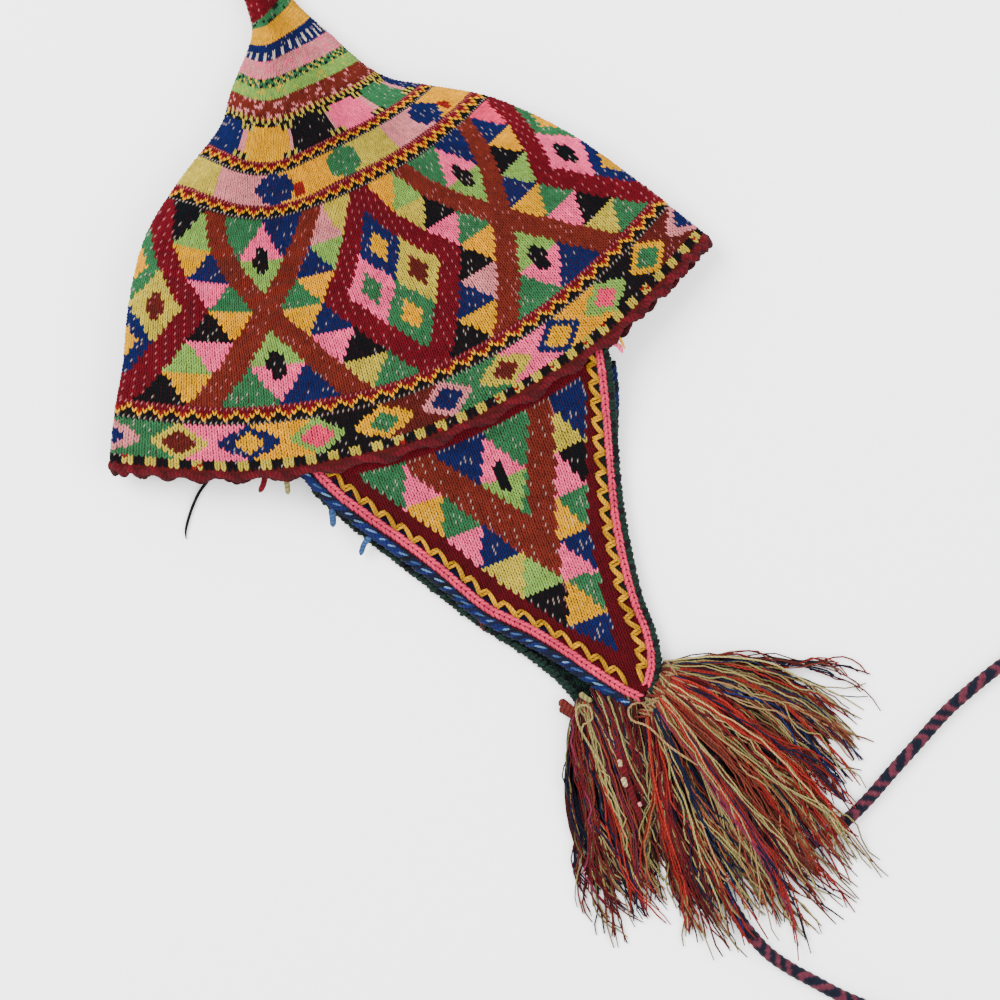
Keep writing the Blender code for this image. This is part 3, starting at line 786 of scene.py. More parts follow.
def plain_rows(dye, fleck, share):
    """A chart of rows in one dye, with that share of its stitches in another."""
    def rows(c, r):
        """The dyes at those columns and rows."""
        return pick((chance(c, r, 4) < share, fleck), default=dye)
    return rows


def speckled_rows(c, r):
    """Green with slanting black and cream specks."""
    return pick((np.mod(c + 2 * r, 4) == 0, "black"), (np.mod(c + r, 3) == 0, "cream"), default="green")


def navy_ribs(c, r):
    """Navy with long pale upright flecks, one every few stitches."""
    start = np.floor(chance(c, c * 0, 6) * 2)
    return pick(((np.mod(c, 3) == 0) & (r >= start) & (r <= start + 2), "pale"), default="navy")


# Bands from the rim to the tip. end: the crown row that each reaches to.
Band = namedtuple("Band", "rows stitches end chart")
BANDS = (
    Band(3, 250, 1.24, checkers),
    Band(DIAMOND_ROWS, 250, 1.97, diamond_row),
    Band(5, 250, 2.33, wave_border),
    Band(WIDE_KNIT_ROWS, WIDE_STITCHES, 6.93, wide_band),
    Band(5, 220, 7.45, wave_border),
    Band(BLOB_ROWS, 200, 8.60, blob_band),
    Band(5, 180, 9.10, wave_border),
    Band(BLOCK_ROWS, 160, 10.35, block_band),
    Band(4, 136, 10.85, dotted_rows),
    Band(5, 126, 11.50, plain_rows("rust", "light_pink", 0.14)),
    Band(4, 114, 12.02, plain_rows("light_green", "cream", 0.12)),
    Band(3, 104, 12.36, speckled_rows),
    Band(6, 92, 13.08, plain_rows("light_pink", "pink", 0.2)),
    Band(6, 76, 13.80, navy_ribs),
    Band(7, 62, 14.62, plain_rows("yellow", "gold", 0.25)),
    Band(3, 50, 15.02, plain_rows("green", "dark_green", 0.2)),
    Band(15, 36, 17.00, plain_rows("crimson", "dark_crimson", 0.2)),
    Band(15, 24, 19.00, plain_rows("crimson", "dark_crimson", 0.2)),
)
WIDE_BAND = 3


def knit_band(n, first, last):
    """The stitches of band n from column first to column last, its rows evenly spaced up the folds."""
    band = BANDS[n]
    rows = np.arange(len(CROWN_SECTIONS))
    up = CROWN_SECTIONS[:, 2]
    low = np.interp(BANDS[n - 1].end if n else KNIT_EDGE_ROW, rows, up)
    high = np.interp(band.end, rows, up)
    c, r = np.meshgrid(np.arange(first, last), np.arange(band.rows))
    c = c.ravel()
    r = r.ravel()
    dyes = band.chart(c, r)

    def place(a, b, relief):
        """Points of the crown at those columns, rows and relief."""
        around = np.mod(a * 2 / band.stitches, 2.0)
        share = low + (high - low) * b / band.rows
        dip = np.exp(-((around - DIP_MIDDLE) / DIP_SPREAD) ** 2) * np.clip((share - 0.3) / 0.2, 0, 1)
        dip = dip * np.clip((0.9 - share) / 0.3, 0, 1)
        s = np.where(around < 1, 2 * around - 1, 3 - 2 * around)
        tilt = np.interp(share, *np.array(ROW_TILT).T)
        t = np.interp(share - BAND_DIP * dip + tilt * s, up, rows)
        return crown_place(t, around, relief * STITCH_RELIEF)

    flecks = wave_border_yarn(r) if band.chart is wave_border else peeping_yarn_and_glints(dyes, c, r)
    return lay_stitches(c.astype(float), r.astype(float), dyes, place, flecks)


def make_crown():
    """The knitted fabric's ground, a closed wall, and the stitches on it."""
    sides = 120
    around = np.arange(sides) * 2 / sides
    outer_rows = np.concatenate(([GROUND_START], np.linspace(KNIT_EDGE_ROW, 19, 73)))
    inner_rows = np.concatenate(([GROUND_START], np.linspace(KNIT_EDGE_ROW, LAST_HOLLOW_ROW, 49)))
    rings = [crown_round(np.full(sides, t), around, BACKING_DEPTH) for t in outer_rows]
    rings += [crown_round(np.full(sides, t), around, KNIT_THICKNESS) for t in inner_rows]
    points = np.concatenate(rings)
    inner = len(outer_rows) * sides
    faces = tube_faces(len(outer_rows), sides)
    faces += [[inner + p for p in reversed(quad)] for quad in tube_faces(len(inner_rows), sides)]
    faces += [(j, inner + j, inner + (j + 1) % sides, (j + 1) % sides) for j in range(sides)]
    faces.append(tuple(range(inner - sides, inner)))
    faces.append(tuple(reversed(range(len(points) - sides, len(points)))))
    heights = np.concatenate((np.repeat(outer_rows, sides), np.repeat(inner_rows, sides)))
    ground = np.where(np.mod(heights * 3, 2) < 1, D["maroon"], D["dark_crimson"])
    wall = add_piece("crown_wall", (points, faces, DYE_LINEAR[ground] * 0.7), knit_wool)
    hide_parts("crown")
    half = WIDE_STITCHES // 2
    pieces = {
        "knit_rim_bands": gather([knit_band(n, 0, BANDS[n].stitches) for n in range(WIDE_BAND)]),
        "knit_wide_band_top": knit_band(WIDE_BAND, 0, half),
        "knit_wide_band_under": knit_band(WIDE_BAND, half, WIDE_STITCHES),
        "knit_upper_bands": gather([
            knit_band(n, 0, BANDS[n].stitches) for n in range(WIDE_BAND + 1, len(BANDS))
        ]),
    }
    for name, mesh in pieces.items():
        add_piece(name, mesh, knit_wool)


def around_of(angle):
    """How far round the crown a turn from the left fold is, as crown_round counts it."""
    over_top = np.mod(angle, 2 * math.pi) < math.pi
    return np.where(over_top, 1 - np.cos(angle), 3 + np.cos(angle)) / 2


# Crochet edge of the rim: three strands twisted along a wavy line
ROPE_TWISTS = 66
ROPE_STATIONS = 1300
ROPE_RADIUS = 0.00130
ROPE_STRANDS = ("crimson", "dark_crimson", "crimson")


def make_rim_edging():
    """The rim's crochet: its three strands, with painted shade where one passes under another and along
    the scallops.
    """
    angle = np.linspace(0, 2 * math.pi, ROPE_STATIONS, endpoint=False)
    wave = np.sin(SCALLOPS * angle / 2) ** 2
    middle = 0.62 - 0.75 * wave + 0.08 * np.sin(17 * angle)
    parts = []
    for n, dye in enumerate(ROPE_STRANDS):
        turn = ROPE_TWISTS * angle + 2 * math.pi * n / len(ROPE_STRANDS) + 0.7 * np.sin(13 * angle)
        t = middle + 0.27 * np.cos(turn)
        depth = 0.0016 - 0.00060 * np.sin(turn)
        line = crown_round(t, around_of(angle), depth)
        line = np.concatenate((line, line[:2]))
        # Painted shade: darker where a strand passes under the others and following the scallops, with
        # random tone
        shade = 0.20 + 0.22 * (1 - wave) + 0.14 * rng.random(ROPE_STATIONS) + 0.13 * (1 + np.sin(turn))
        shade = np.concatenate((shade, shade[:2]))
        parts.append(yarns(line[None], ROPE_RADIUS, 6, (DYE_LINEAR[D[dye]] * shade[:, None])[None]))
    edging = add_piece("rim_crochet", gather(parts), crochet_wool)
    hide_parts("rim_edging")


# Patterns of the flaps, millimetres in plan
LEFT_STRIP_OUTER = ((-37.0, -32.8), (-50.5, -24.1), (-69.3, -11.5), (-85.1, -2.9), (-104.2, 10.4),
                    (-114.5, 18.2), (-130.2, 32.9))
LEFT_STRIP_INNER = ((-40.8, -15.9), (-83.7, 13.0), (-130.2, 46.0))
LEFT_ARM_INNER = ((-40.3, -3.6), (-71.0, 19.9))
RIGHT_ARM_INNER = ((-38.9, 32.2), (-54.2, 25.8), (-68.6, 20.5))
RIGHT_STRIP_INNER = ((-37.6, 42.4), (-50.6, 38.0), (-67.7, 31.8), (-84.0, 26.7), (-130.2, 14.0))
RIGHT_STRIP_OUTER = ((-36.0, 55.9), (-50.9, 50.2), (-67.3, 44.5), (-83.4, 39.2), (-96.6, 36.6),
                     (-116.1, 34.3), (-130.2, 32.9))
FIELD_END = -130.2
LEVEL_TOP = -37.0
LEVEL_STEP = 15.6
FLAP_BAND_DEPTH = 5.2
CLUSTER_REACH = 2.6
RHOMBUS_Y = -54.5
RHOMBUS_REACH = (8.9, 16.5)
LENS_REACH = (2.3, 6.0)
MIDDLE_END = -71.0
# Triangles of the flap's strips from the rim down: on the outer side, on the inner side
LEFT_LEVELS = (("green", "pink"), ("yellow", "green"), ("pink", "navy"), ("cream", "light_green"),
               ("black", "yellow"), ("navy", "navy"), ("navy", "navy"))
RIGHT_LEVELS = (("navy", "cream"), ("black", "pink"), ("green", "yellow"), ("navy", "pink"),
                ("green", "yellow"), ("navy", "navy"), ("navy", "navy"))


def line_x(line, y):
    """Where a line of (y, x) points is at those y."""
    ys, xs = np.array(line).T
    return np.interp(-y, -ys, xs)


def strip_of_triangles(x, y, outer, inner, levels):
    """Dyes of a strip between two lines, and how far each stitch is from its triangle's middle."""
    level = np.clip(np.floor((LEVEL_TOP - y) / LEVEL_STEP).astype(int), 0, len(levels) - 1)
    top = LEVEL_TOP - level * LEVEL_STEP
    end = top - LEVEL_STEP
    fall = np.clip((top - y) / LEVEL_STEP, 0, 1)
    split = line_x(inner, top) * (1 - fall) + line_x(outer, end) * fall
    on_inner = (x - split) * (line_x(inner, y) - line_x(outer, y)) > 0
    third_x = np.where(on_inner, line_x(inner, end), line_x(outer, top))
    third_y = np.where(on_inner, end, top)
    middle_x = (line_x(inner, top) + line_x(outer, end) + third_x) / 3
    middle_y = (top + end + third_y) / 3
    return np.array(dye_table(levels))[level, on_inner.astype(int)], np.hypot(x - middle_x, y - middle_y)


def flap_chart(x, y, c, r):
    """Dyes of a flap's stitches at x, y in millimetres, and of the yarn that peeps through them."""
    left_outer = line_x(LEFT_STRIP_OUTER, y)
    left_inner = line_x(LEFT_STRIP_INNER, y)
    right_inner = line_x(RIGHT_STRIP_INNER, y)
    right_outer = line_x(RIGHT_STRIP_OUTER, y)
    left_fill, left_away = strip_of_triangles(x, y, LEFT_STRIP_OUTER, LEFT_STRIP_INNER, LEFT_LEVELS)
    right_fill, right_away = strip_of_triangles(x, y, RIGHT_STRIP_OUTER, RIGHT_STRIP_INNER, RIGHT_LEVELS)
    up = y - RHOMBUS_Y
    rhombus_x = 16.0 - 0.06 * up
    rhombus = np.abs(x - rhombus_x) / RHOMBUS_REACH[0] + np.abs(up) / RHOMBUS_REACH[1] < 1
    lens = ((x - rhombus_x) / LENS_REACH[0]) ** 2 + (up / LENS_REACH[1]) ** 2 < 1
    middle = pick(
        (lens, "black"), (rhombus & (up > 0), "pink"), (rhombus, "light_green"),
        (x < rhombus_x, "navy"), default="green",
    )
    inside = y > FIELD_END
    between = (x > line_x(LEFT_ARM_INNER, y)) & (x < line_x(RIGHT_ARM_INNER, y)) & (y > MIDDLE_END)
    arms = inside & (x >= left_inner) & (x <= right_inner)
    in_left = inside & (x > left_outer) & (x < left_inner) & (x < right_outer)
    in_right = inside & (x > right_inner) & (x < right_outer) & (x > left_outer)
    dyes = pick(
        (between, middle), (in_left & ~arms, left_fill), (in_right, right_fill), (arms, "rust"),
        default="dark_crimson",
    )
    field = between | in_left | in_right | arms
    away = np.where(in_left, left_away, right_away)
    cluster = (in_left | in_right) & (away < CLUSTER_REACH) & (chance(c, r, 3) < 0.55)
    cluster = cluster & is_any(dyes, "navy", "green", "black", "yellow")
    away = np.hypot(np.abs(x - rhombus_x) - 10, y + 44)
    mid_cluster = between & (away < CLUSTER_REACH) & (chance(c, r, 4) < 0.5)
    dots = arms & ~between & (np.mod(c, 2) == 0) & (np.mod(r, 2) == 0) & (chance(c, r, 2) < 0.6)
    edge = (np.abs(x - right_outer) < 1.0) | (np.abs(x - left_outer) < 1.0)
    seam = (np.abs(x - left_inner) < 1.0) | (np.abs(x - right_inner) < 1.0)
    flecks = pick(
        (field & edge & (chance(c, r, 5) < 0.7), "pale"),
        (field & seam & (chance(c, r, 6) < 0.4), "light_pink"),
        (cluster | mid_cluster | dots, "pale"),
        default=-1,
    )
    return dyes, flecks


# Sides of the flaps, metres inside the outline: the pink chain and its end, the zigzag and its period
Side = namedtuple("Side", "name chain chain_end chain_extra zig_near zig_far period wedge")
SIDES = (
    Side("left", 0.0058, 0.985, 0.0036, 0.0078, 0.0110, 0.0076, "deep_navy"),
    Side("right", 0.0034, 0.965, 0.0, 0.0052, 0.0090, 0.00665, "dark_green"),
)
# Share of a zigzag's period in which it runs back to the chain
ZIGZAG_FALL = 0.8
ZIGZAG_RADIUS = 0.00062
PAIR_SHIFT = 0.0006
# How far the knitting stops short of the outline, metres
LEFT_MARGIN = 0.0030
RIGHT_MARGIN = 0.0026
FLAP_COLUMNS = (-40, 42)
# The wedges of dark stitches in the zigzag end that far below the rim, millimetres
WEDGE_END = 88
BACK_BORDER = 0.012
# The flap's ground, from just under its stitches to its underside, in drops from the rim to the tip
GROUND_TOP = KNIT_THICKNESS - 1.35 * STITCH_RELIEF
GROUND_DROPS = np.linspace(0.012, 0.965, 61)
GROUND_COLUMNS = 36
GROUND_MARGIN = 0.0018
PINK_CHAIN_WIDTH = 0.0036
PINK_CHAIN_PITCH = 0.0021
PINK_CHAIN_HEIGHT = 0.0020

# Blanket stitches over the flaps' edges, metres: an upper row, light-blue strokes on it as painted
# highlights, a darker row below
EDGE_TOP = FLAP_EDGE_THICKNESS - 0.0007
EDGE_UNDER = EDGE_TOP - 0.0012
STROKE_LIFT = EDGE_TOP + 0.0014
BLUES = ("deep_navy", "navy", "deep_navy", "navy", "black", "deep_navy", "navy")
GREENS = ("dark_green", "dark_green", "dark_green", "black")
# Painted highlights: thin light-blue strokes that stand for light catching the navy edging
HIGHLIGHT_BLUES = ("light_blue", "light_blue", "dusty_blue")
Wraps = namedtuple("Wraps", "side inset width pitch lift dyes radius first last lean")
FRONT_WRAPS = (
    Wraps("left", 0.0017, 0.0030, 0.0019, EDGE_TOP, BLUES, 0.00105, 0.02, 0.985, 1.3),
    Wraps("left", 0.0021, 0.0014, 0.0050, STROKE_LIFT, HIGHLIGHT_BLUES, 0.00045, 0.02, 0.985, 0.25),
    Wraps("left", 0.0023, 0.0034, 0.0013, EDGE_UNDER, ("deep_navy", "black"), 0.00105, 0.02, 0.985, 1.3),
    Wraps("right", 0.0011, 0.0022, 0.0021, EDGE_TOP, GREENS, 0.0011, 0.02, 0.97, 0.3),
    Wraps("right", 0.0013, 0.0020, 0.0013, EDGE_UNDER, ("dark_green",), 0.00095, 0.02, 0.97, 1.3),
)
BACK_WRAPS = (
    Wraps("left", 0.0016, 0.0028, 0.0021, EDGE_TOP, GREENS, 0.0011, 0.05, 0.985, 0.3),
    Wraps("left", 0.0018, 0.0026, 0.0013, EDGE_UNDER, ("dark_green", "black"), 0.00095, 0.05, 0.985, 1.3),
    Wraps("right", 0.0016, 0.0028, 0.0019, EDGE_TOP, BLUES, 0.00105, 0.05, 0.985, 1.3),
    Wraps("right", 0.0018, 0.0026, 0.0013, EDGE_UNDER, ("deep_navy",), 0.00095, 0.05, 0.985, 1.3),
)


def knit_flap(flap, name):
    """Every stitch of a flap, on rows that follow the rim and fade to straight ones at the tip."""
    rows = int(flap.length / FLAP_STITCH_HEIGHT)
    c, r = np.meshgrid(np.arange(*FLAP_COLUMNS), np.arange(-rows, 0))
    c = c.ravel()
    r = r.ravel()
    x = (c + 0.5) * FLAP_STITCH_WIDTH
    drop = -(r + 0.5) * FLAP_STITCH_HEIGHT / flap.length
    left, right = outline_at(flap, drop)
    keep = (x > left + LEFT_MARGIN) & (x < right - RIGHT_MARGIN)
    c, r, x, drop = c[keep], r[keep], x[keep], drop[keep]
    y = flap_y(flap, x, drop)
    dyes, flecks = flap_chart(x * 1000, y * 1000, c, r)
    top = (rim_line(x)[:, 1] - y) * 1000
    band = top < FLAP_BAND_DEPTH + 2.0
    line = ~band & (top < FLAP_BAND_DEPTH + 3.4) & (chance(c, r, 9) < 0.75)
    line = line & ~is_any(dyes, "dark_crimson")
    dyes = np.where(band, D["crimson"], dyes)
    flecks = np.select([band, line], [-1, D["pale"]], flecks)
    for side in SIDES:
        way, length, count = zigzag_line(flap, side)
        gaps = np.hypot(x[:, None] - way[None, :, 0], y[:, None] - way[None, :, 1])
        nearest = gaps.argmin(axis=1)
        away = gaps[np.arange(len(x)), nearest]
        phase = np.mod(nearest / (len(way) - 1) * count, 1.0)
        reach = np.interp(phase, (0, ZIGZAG_FALL, 1), (1, 0, 1)) * (side.zig_far - side.zig_near)
        within = (side.name == "left") == (x > way[nearest, 0])
        wedge = ~band & (top < WEDGE_END) & np.where(within, away < reach - 0.0006, away < 0.0016)
        dyes = np.where(wedge, D[side.wedge], dyes)
        flecks = np.where(wedge, -1, flecks)
    if flap is BACK:
        border = x < outline_at(flap, drop)[0] + BACK_BORDER
        dyes = np.where(border, np.where(chance(c, r, 11) < 0.6, D["dark_green"], D["black"]), dyes)
        flecks = np.where(border, -1, flecks)

    def place(a, b, relief):
        """Points of the flap at those columns, rows and relief."""
        x = a * FLAP_STITCH_WIDTH
        drop = -b * FLAP_STITCH_HEIGHT / flap.length
        up = KNIT_THICKNESS + (relief - 1.0) * STITCH_RELIEF
        return flap_surface(flap, x, drop, up)

    stitches = lay_stitches(c.astype(float), r.astype(float), dyes, place, flecks)
    return add_piece(name, stitches, knit_wool)


def flap_ground(flap, name):
    """The flap's fabric under its stitches: a curved plate with real thickness."""
    left, right = outline_at(flap, GROUND_DROPS)
    share = np.linspace(0, 1, GROUND_COLUMNS + 1)
    x = (left + GROUND_MARGIN)[:, None] * (1 - share) + (right - GROUND_MARGIN)[:, None] * share
    drop = np.repeat(GROUND_DROPS[:, None], GROUND_COLUMNS + 1, axis=1)
    points = flap_surface(flap, x, drop, GROUND_TOP).reshape(-1, 3)
    faces = []
    for i in range(len(GROUND_DROPS) - 1):
        for j in range(GROUND_COLUMNS):
            a = i * (GROUND_COLUMNS + 1) + j
            b = a + GROUND_COLUMNS + 1
            faces.append((a, b, b + 1, a + 1))
    colours = np.tile(DYE_LINEAR[D["dark_crimson" if flap is FRONT else "black"]], (len(points), 1))
    plate = add_piece(name, (points, faces, colours), knit_wool)
    bpy.ops.object.select_all(action="DESELECT")
    bpy.context.view_layer.objects.active = plate
    thick = plate.modifiers.new("thickness", "SOLIDIFY")
    thick.thickness = GROUND_TOP
    thick.offset = -1.0
    bpy.ops.object.modifier_apply(modifier=thick.name)
    return plate


def along_line(line, base):
    """A place function that lays stitches along a line in plan: columns across it, rows along it."""
    lengths = np.concatenate(([0.0], np.cumsum(np.linalg.norm(np.diff(line, axis=0), axis=1))))
    way = np.gradient(line, axis=0)
    way /= np.linalg.norm(way, axis=1, keepdims=True)

    def place(across, along, up):
        """Points that far beside the line, along it and above the base."""
        at = np.stack([np.interp(along, lengths, line[:, k]) for k in range(2)], axis=-1)
        to = np.stack([np.interp(along, lengths, way[:, k]) for k in range(2)], axis=-1)
        x = at[..., 0] + to[..., 1] * across
        y = at[..., 1] - to[..., 0] * across
        return np.stack((x, y, base(x, y) + up), axis=-1)

    return place, lengths[-1]


def crochet_chain(flap, side):
    """Plump pink Vs of crochet, one in the next, along one side of a flap and a little past its end."""
    line = side_line(flap, side.name, side.chain, 0.02, side.chain_end)
    end = line[-1] - line[-6]
    beyond = line[-1] + end / np.linalg.norm(end) * (side.chain_extra + 1e-5)
    line = spaced(np.concatenate((line, [beyond])), count=300)
    place, length = along_line(line, flap.base)
    count = int(length / PINK_CHAIN_PITCH)
    rows = np.arange(count, dtype=float)

    def chain_place(a, b, relief):
        """Points of the chain at those columns, rows and relief."""
        across = (a - 0.5) * PINK_CHAIN_WIDTH
        crown = 1 - (2 * np.clip(a, 0, 1) - 1) ** 2
        up = KNIT_THICKNESS + PINK_CHAIN_HEIGHT * (0.45 * crown + 0.55 * relief) - 0.0004
        return place(across, b * length / count, up)

    dyes = np.full(count, D["hot_pink"])
    return lay_stitches(np.zeros(count), rows, dyes, chain_place, looseness=0.02)


def slanted_wraps(flap, wraps):
    """A row of blanket stitches over a flap's edge: short slanted yarns, each in one of the dyes."""
    line = spaced(side_line(flap, wraps.side, wraps.inset, wraps.first, wraps.last), count=300)
    place, length = along_line(line, flap.base)
    count = int(length / wraps.pitch)
    s = np.linspace(-1, 1, 6)
    start = (np.arange(count) + 0.5) * length / count + rng.normal(0, wraps.pitch * 0.12, count)
    lean = wraps.pitch * (wraps.lean + 0.3 * rng.random(count))
    along = np.clip(start[:, None] + lean[:, None] * s, 0, length)
    flip = 1.0 if wraps.side == "right" else -1.0
    across = flip * (wraps.width / 2) * s * (1 + 0.12 * rng.normal(0, 1, (count, 1)))
    up = wraps.lift + wraps.radius * 0.9 * (1 - s**2) - wraps.radius * 0.3 * s**2
    paths = place(across, along, up)
    widths = wraps.radius * np.array((0.45, 0.85, 1.0, 1.0, 0.85, 0.45))
    order = np.array(dye_table(wraps.dyes))[rng.integers(0, len(wraps.dyes), count)]
    colours = (DYE_LINEAR[order] * (1 + rng.normal(0, 0.12, (count, 1))))[:, None]
    return yarns(paths, widths, 6, colours)


def zigzag_line(flap, side):
    """The near side of a side's zigzag, its length, and how many times it turns."""
    line = spaced(side_line(flap, side.name, side.zig_near, 0.03, 0.965), count=300)
    length = np.linalg.norm(np.diff(line, axis=0), axis=1).sum()
    return line, length, int(length / side.period)


def zigzag(flap, side):
    """Yellow stitches, two side by side, in a zigzag between the pink chain and the knitting."""
    near, length, count = zigzag_line(flap, side)
    place, _ = along_line(near, flap.base)
    inward = -1.0 if side.name == "left" else 1.0
    corners = np.array([corner for n in range(count) for corner in ((n, 1.0), (n + ZIGZAG_FALL, 0.0))])
    along = corners[:, 0] * length / count
    reach = corners[:, 1] * (side.zig_far - side.zig_near)
    f = np.linspace(-0.06, 1.06, 7)
    bulge = 0.0004 * np.sin(math.pi * np.clip(f, 0, 1))
    parts = []
    for shift in (-PAIR_SHIFT, PAIR_SHIFT):
        across = inward * (reach[:-1, None] * (1 - f) + reach[1:, None] * f + bulge)
        run = along[:-1, None] * (1 - f) + along[1:, None] * f + shift
        run = run + rng.normal(0, 0.00015, (len(run), 1))
        up = KNIT_THICKNESS - 0.0001 + 1.6 * bulge
        # Random tone, with painted shade: each stitch darker towards its ends, where it sinks into the
        # knitting
        shade = (0.42 + 0.45 * rng.random((len(run), 1)) - 0.12 * np.abs(2 * f - 1))[..., None]
        widths = ZIGZAG_RADIUS * np.array((0.5, 0.85, 1.0, 1.0, 1.0, 0.85, 0.5))
        paths = place(across, np.clip(run, 0, length), up)
        parts.append(yarns(paths, widths, 6, DYE_LINEAR[D["yellow"]] * shade))
    return gather(parts)


def make_flaps():
    """Both flaps: fabric, stitches and trims."""
    front_stitches = knit_flap(FRONT, "flap_front_stitches")
    back_stitches = knit_flap(BACK, "flap_back_stitches")
    front = flap_ground(FRONT, "flap_front_fabric")
    back = flap_ground(BACK, "flap_back_fabric")
    trims = {
        "front_pink_chain": gather([crochet_chain(FRONT, side) for side in SIDES]),
        "front_outer_edging": gather([slanted_wraps(FRONT, wraps) for wraps in FRONT_WRAPS]),
        "front_zigzag": gather([zigzag(FRONT, side) for side in SIDES]),
        "back_outer_edging": gather([slanted_wraps(BACK, wraps) for wraps in BACK_WRAPS]),
    }
    pieces = {name: add_piece(name, mesh, crochet_wool) for name, mesh in trims.items()}
    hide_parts("flap_front")
    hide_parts("flap_back")
    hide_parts("flap_edging_front")
    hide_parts("flap_edging_back")


# Ties: braided cords, rose and near black in chevrons that wander round them
BRAID_PITCH = 0.0063
CHEVRON_TURN = 0.037
CHEVRON_LEAN = 0.95
TIE_RING_STEP = 0.0005
TIE_SIDES = 14
CHEVRON_SHARE = 0.42
BRAID_RELIEF = 0.00035
TIE_END_ROUND = 0.0022


def tie_line(route):
    """The centreline of a tie that lies on the surface along that route."""
    fine = rows_at(route, np.linspace(0, len(route) - 1, len(route) * 16))
    line = spaced(fine, step=TIE_RING_STEP)
    return np.column_stack((line, np.full(len(line), TIE_DIAMETER / 2 + GAP / 2)))


def make_tie(name, route, node):
    """One braided tie, and its centreline."""
    line = tie_line(route)
    length = np.linalg.norm(np.diff(line, axis=0), axis=1).sum()
    along = np.linspace(0, length, len(line))
    angle = 2 * math.pi * np.arange(TIE_SIDES) / TIE_SIDES
    turn = angle / (2 * math.pi)
    way = np.gradient(line, axis=0)
    way /= np.linalg.norm(way, axis=1, keepdims=True)
    side = np.cross(way, (0.0, 0.0, 1.0))
    rise = np.cross(side, way)
    one = 4 * turn[None] + along[:, None] / BRAID_PITCH * 2
    two = 4 * turn[None] - along[:, None] / BRAID_PITCH * 2
    cells = np.abs(np.sin(math.pi * one)) * np.abs(np.sin(math.pi * two))
    ends = np.clip(np.minimum(along, length - along) / TIE_END_ROUND, 0.0, 1.0)[:, None]
    radius = TIE_DIAMETER / 2 - BRAID_RELIEF + BRAID_RELIEF * cells ** 0.6
    radius = radius * np.sqrt(1 - (1 - ends) ** 2 * 0.9)
    ring = np.cos(angle)[None, :, None] * side[:, None] + np.sin(angle)[None, :, None] * rise[:, None]
    points = (line[:, None] + radius[..., None] * ring).reshape(-1, 3)
    side_share = np.abs(np.mod(turn[None] + along[:, None] / CHEVRON_TURN + 0.5, 1.0) - 0.5) * 2
    chevron = np.mod(along[:, None] / BRAID_PITCH + CHEVRON_LEAN * side_share, 1.0) < CHEVRON_SHARE
    # Painted shade: the braid darker in the grooves between its raised cells
    shade = (0.55 + 0.45 * cells ** 0.5)[..., None]
    dark = DYE_LINEAR[D["black"]] + DYE_LINEAR[D["deep_navy"]] * 0.4
    colours = np.where(chevron[..., None], DYE_LINEAR[D["rose"]], dark) * shade
    faces = [quad[:1] + quad[:0:-1] for quad in tube_faces(len(line), TIE_SIDES)]
    faces.append(tuple(range(TIE_SIDES)))
    faces.append(tuple(reversed(range(len(points) - TIE_SIDES, len(points)))))
    tie = add_piece(name, (points, faces, colours.reshape(-1, 3)), braid_wool)
    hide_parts(node)
    return line


# Tassels. A fan of yarns from a head: share along the head, heading in degrees, reach in shares of
# TASSEL_LENGTH, bow in shares of the reach.
FRONT_HEAD = ((0.0519, -0.1448), (0.0349, -0.1585))
BACK_HEAD = ((0.0163, -0.1491), (0.0104, -0.1480))
FRONT_FAN = np.array((
    (0.00, -38.5, 0.78, 0.15),
    (0.10, -46.5, 0.82, 0.12),
    (0.22, -55.0, 0.84, 0.08),
    (0.42, -63.5, 1.00, 0.05),
    (0.58, -71.5, 1.12, 0.02),
    (0.72, -79.0, 1.06, 0.01),
    (0.84, -87.0, 0.97, 0.00),
    (0.96, -96.0, 0.97, -0.03),
    (1.10, -104.0, 0.76, -0.04),
))
BACK_FAN = np.array((
    (1.00, -106.0, 0.84, -0.09),
    (0.75, -99.0, 0.88, -0.05),
    (0.40, -92.0, 0.86, -0.02),
    (0.00, -84.0, 0.76, 0.02),
    (-0.60, -80.0, 0.62, 0.04),
))
# Dyes of the clumps of yarn, in turn along the fan
FRONT_DYES = (
    "deep_navy", "rust_red", "olive", "red", "orange", "rust_red", "olive", "red", "dark_crimson",
    "tan", "olive", "deep_navy", "rust_red", "red", "olive", "deep_navy", "maroon", "magenta", "tan",
    "red", "navy", "olive", "rust_red", "maroon", "dark_crimson", "orange",
)
BACK_DYES = (
    "deep_navy", "dark_crimson", "rust_red", "deep_navy", "magenta", "maroon", "olive", "black",
    "tan", "dark_crimson", "olive", "red",
)
FRONT_BINDING = ("olive", "tan", "rust", "rust_red", "tan")
BACK_BINDING = ("maroon", "crimson", "tan", "olive")
STRAND_STATIONS = 22
STRAND_RADIUS = 0.00036
UNDER_SHADE = 0.06
STRAND_SETBACK = 0.0060
# How thick the fan is along its yarns, in shares of its thickness
FAN_PROFILE = ((0, 0.05, 0.12, 0.35, 0.7, 0.9, 1.0), (0.50, 0.95, 1.0, 1.0, 0.72, 0.35, 0.12))
LOWEST_YARN = 0.0006
# The dark yarns between the two tassels
MIDDLE_HEAD = ((0.0345, -0.1540), (0.0185, -0.1450))
MIDDLE_FAN = np.array((
    (0.00, -99.0, 0.68, -0.02),
    (0.50, -97.0, 0.70, 0.00),
    (1.00, -91.0, 0.66, 0.02),
))
MIDDLE_DYES = (
    "dark_crimson", "black", "maroon", "dark_crimson", "deep_navy", "olive", "dark_crimson",
)


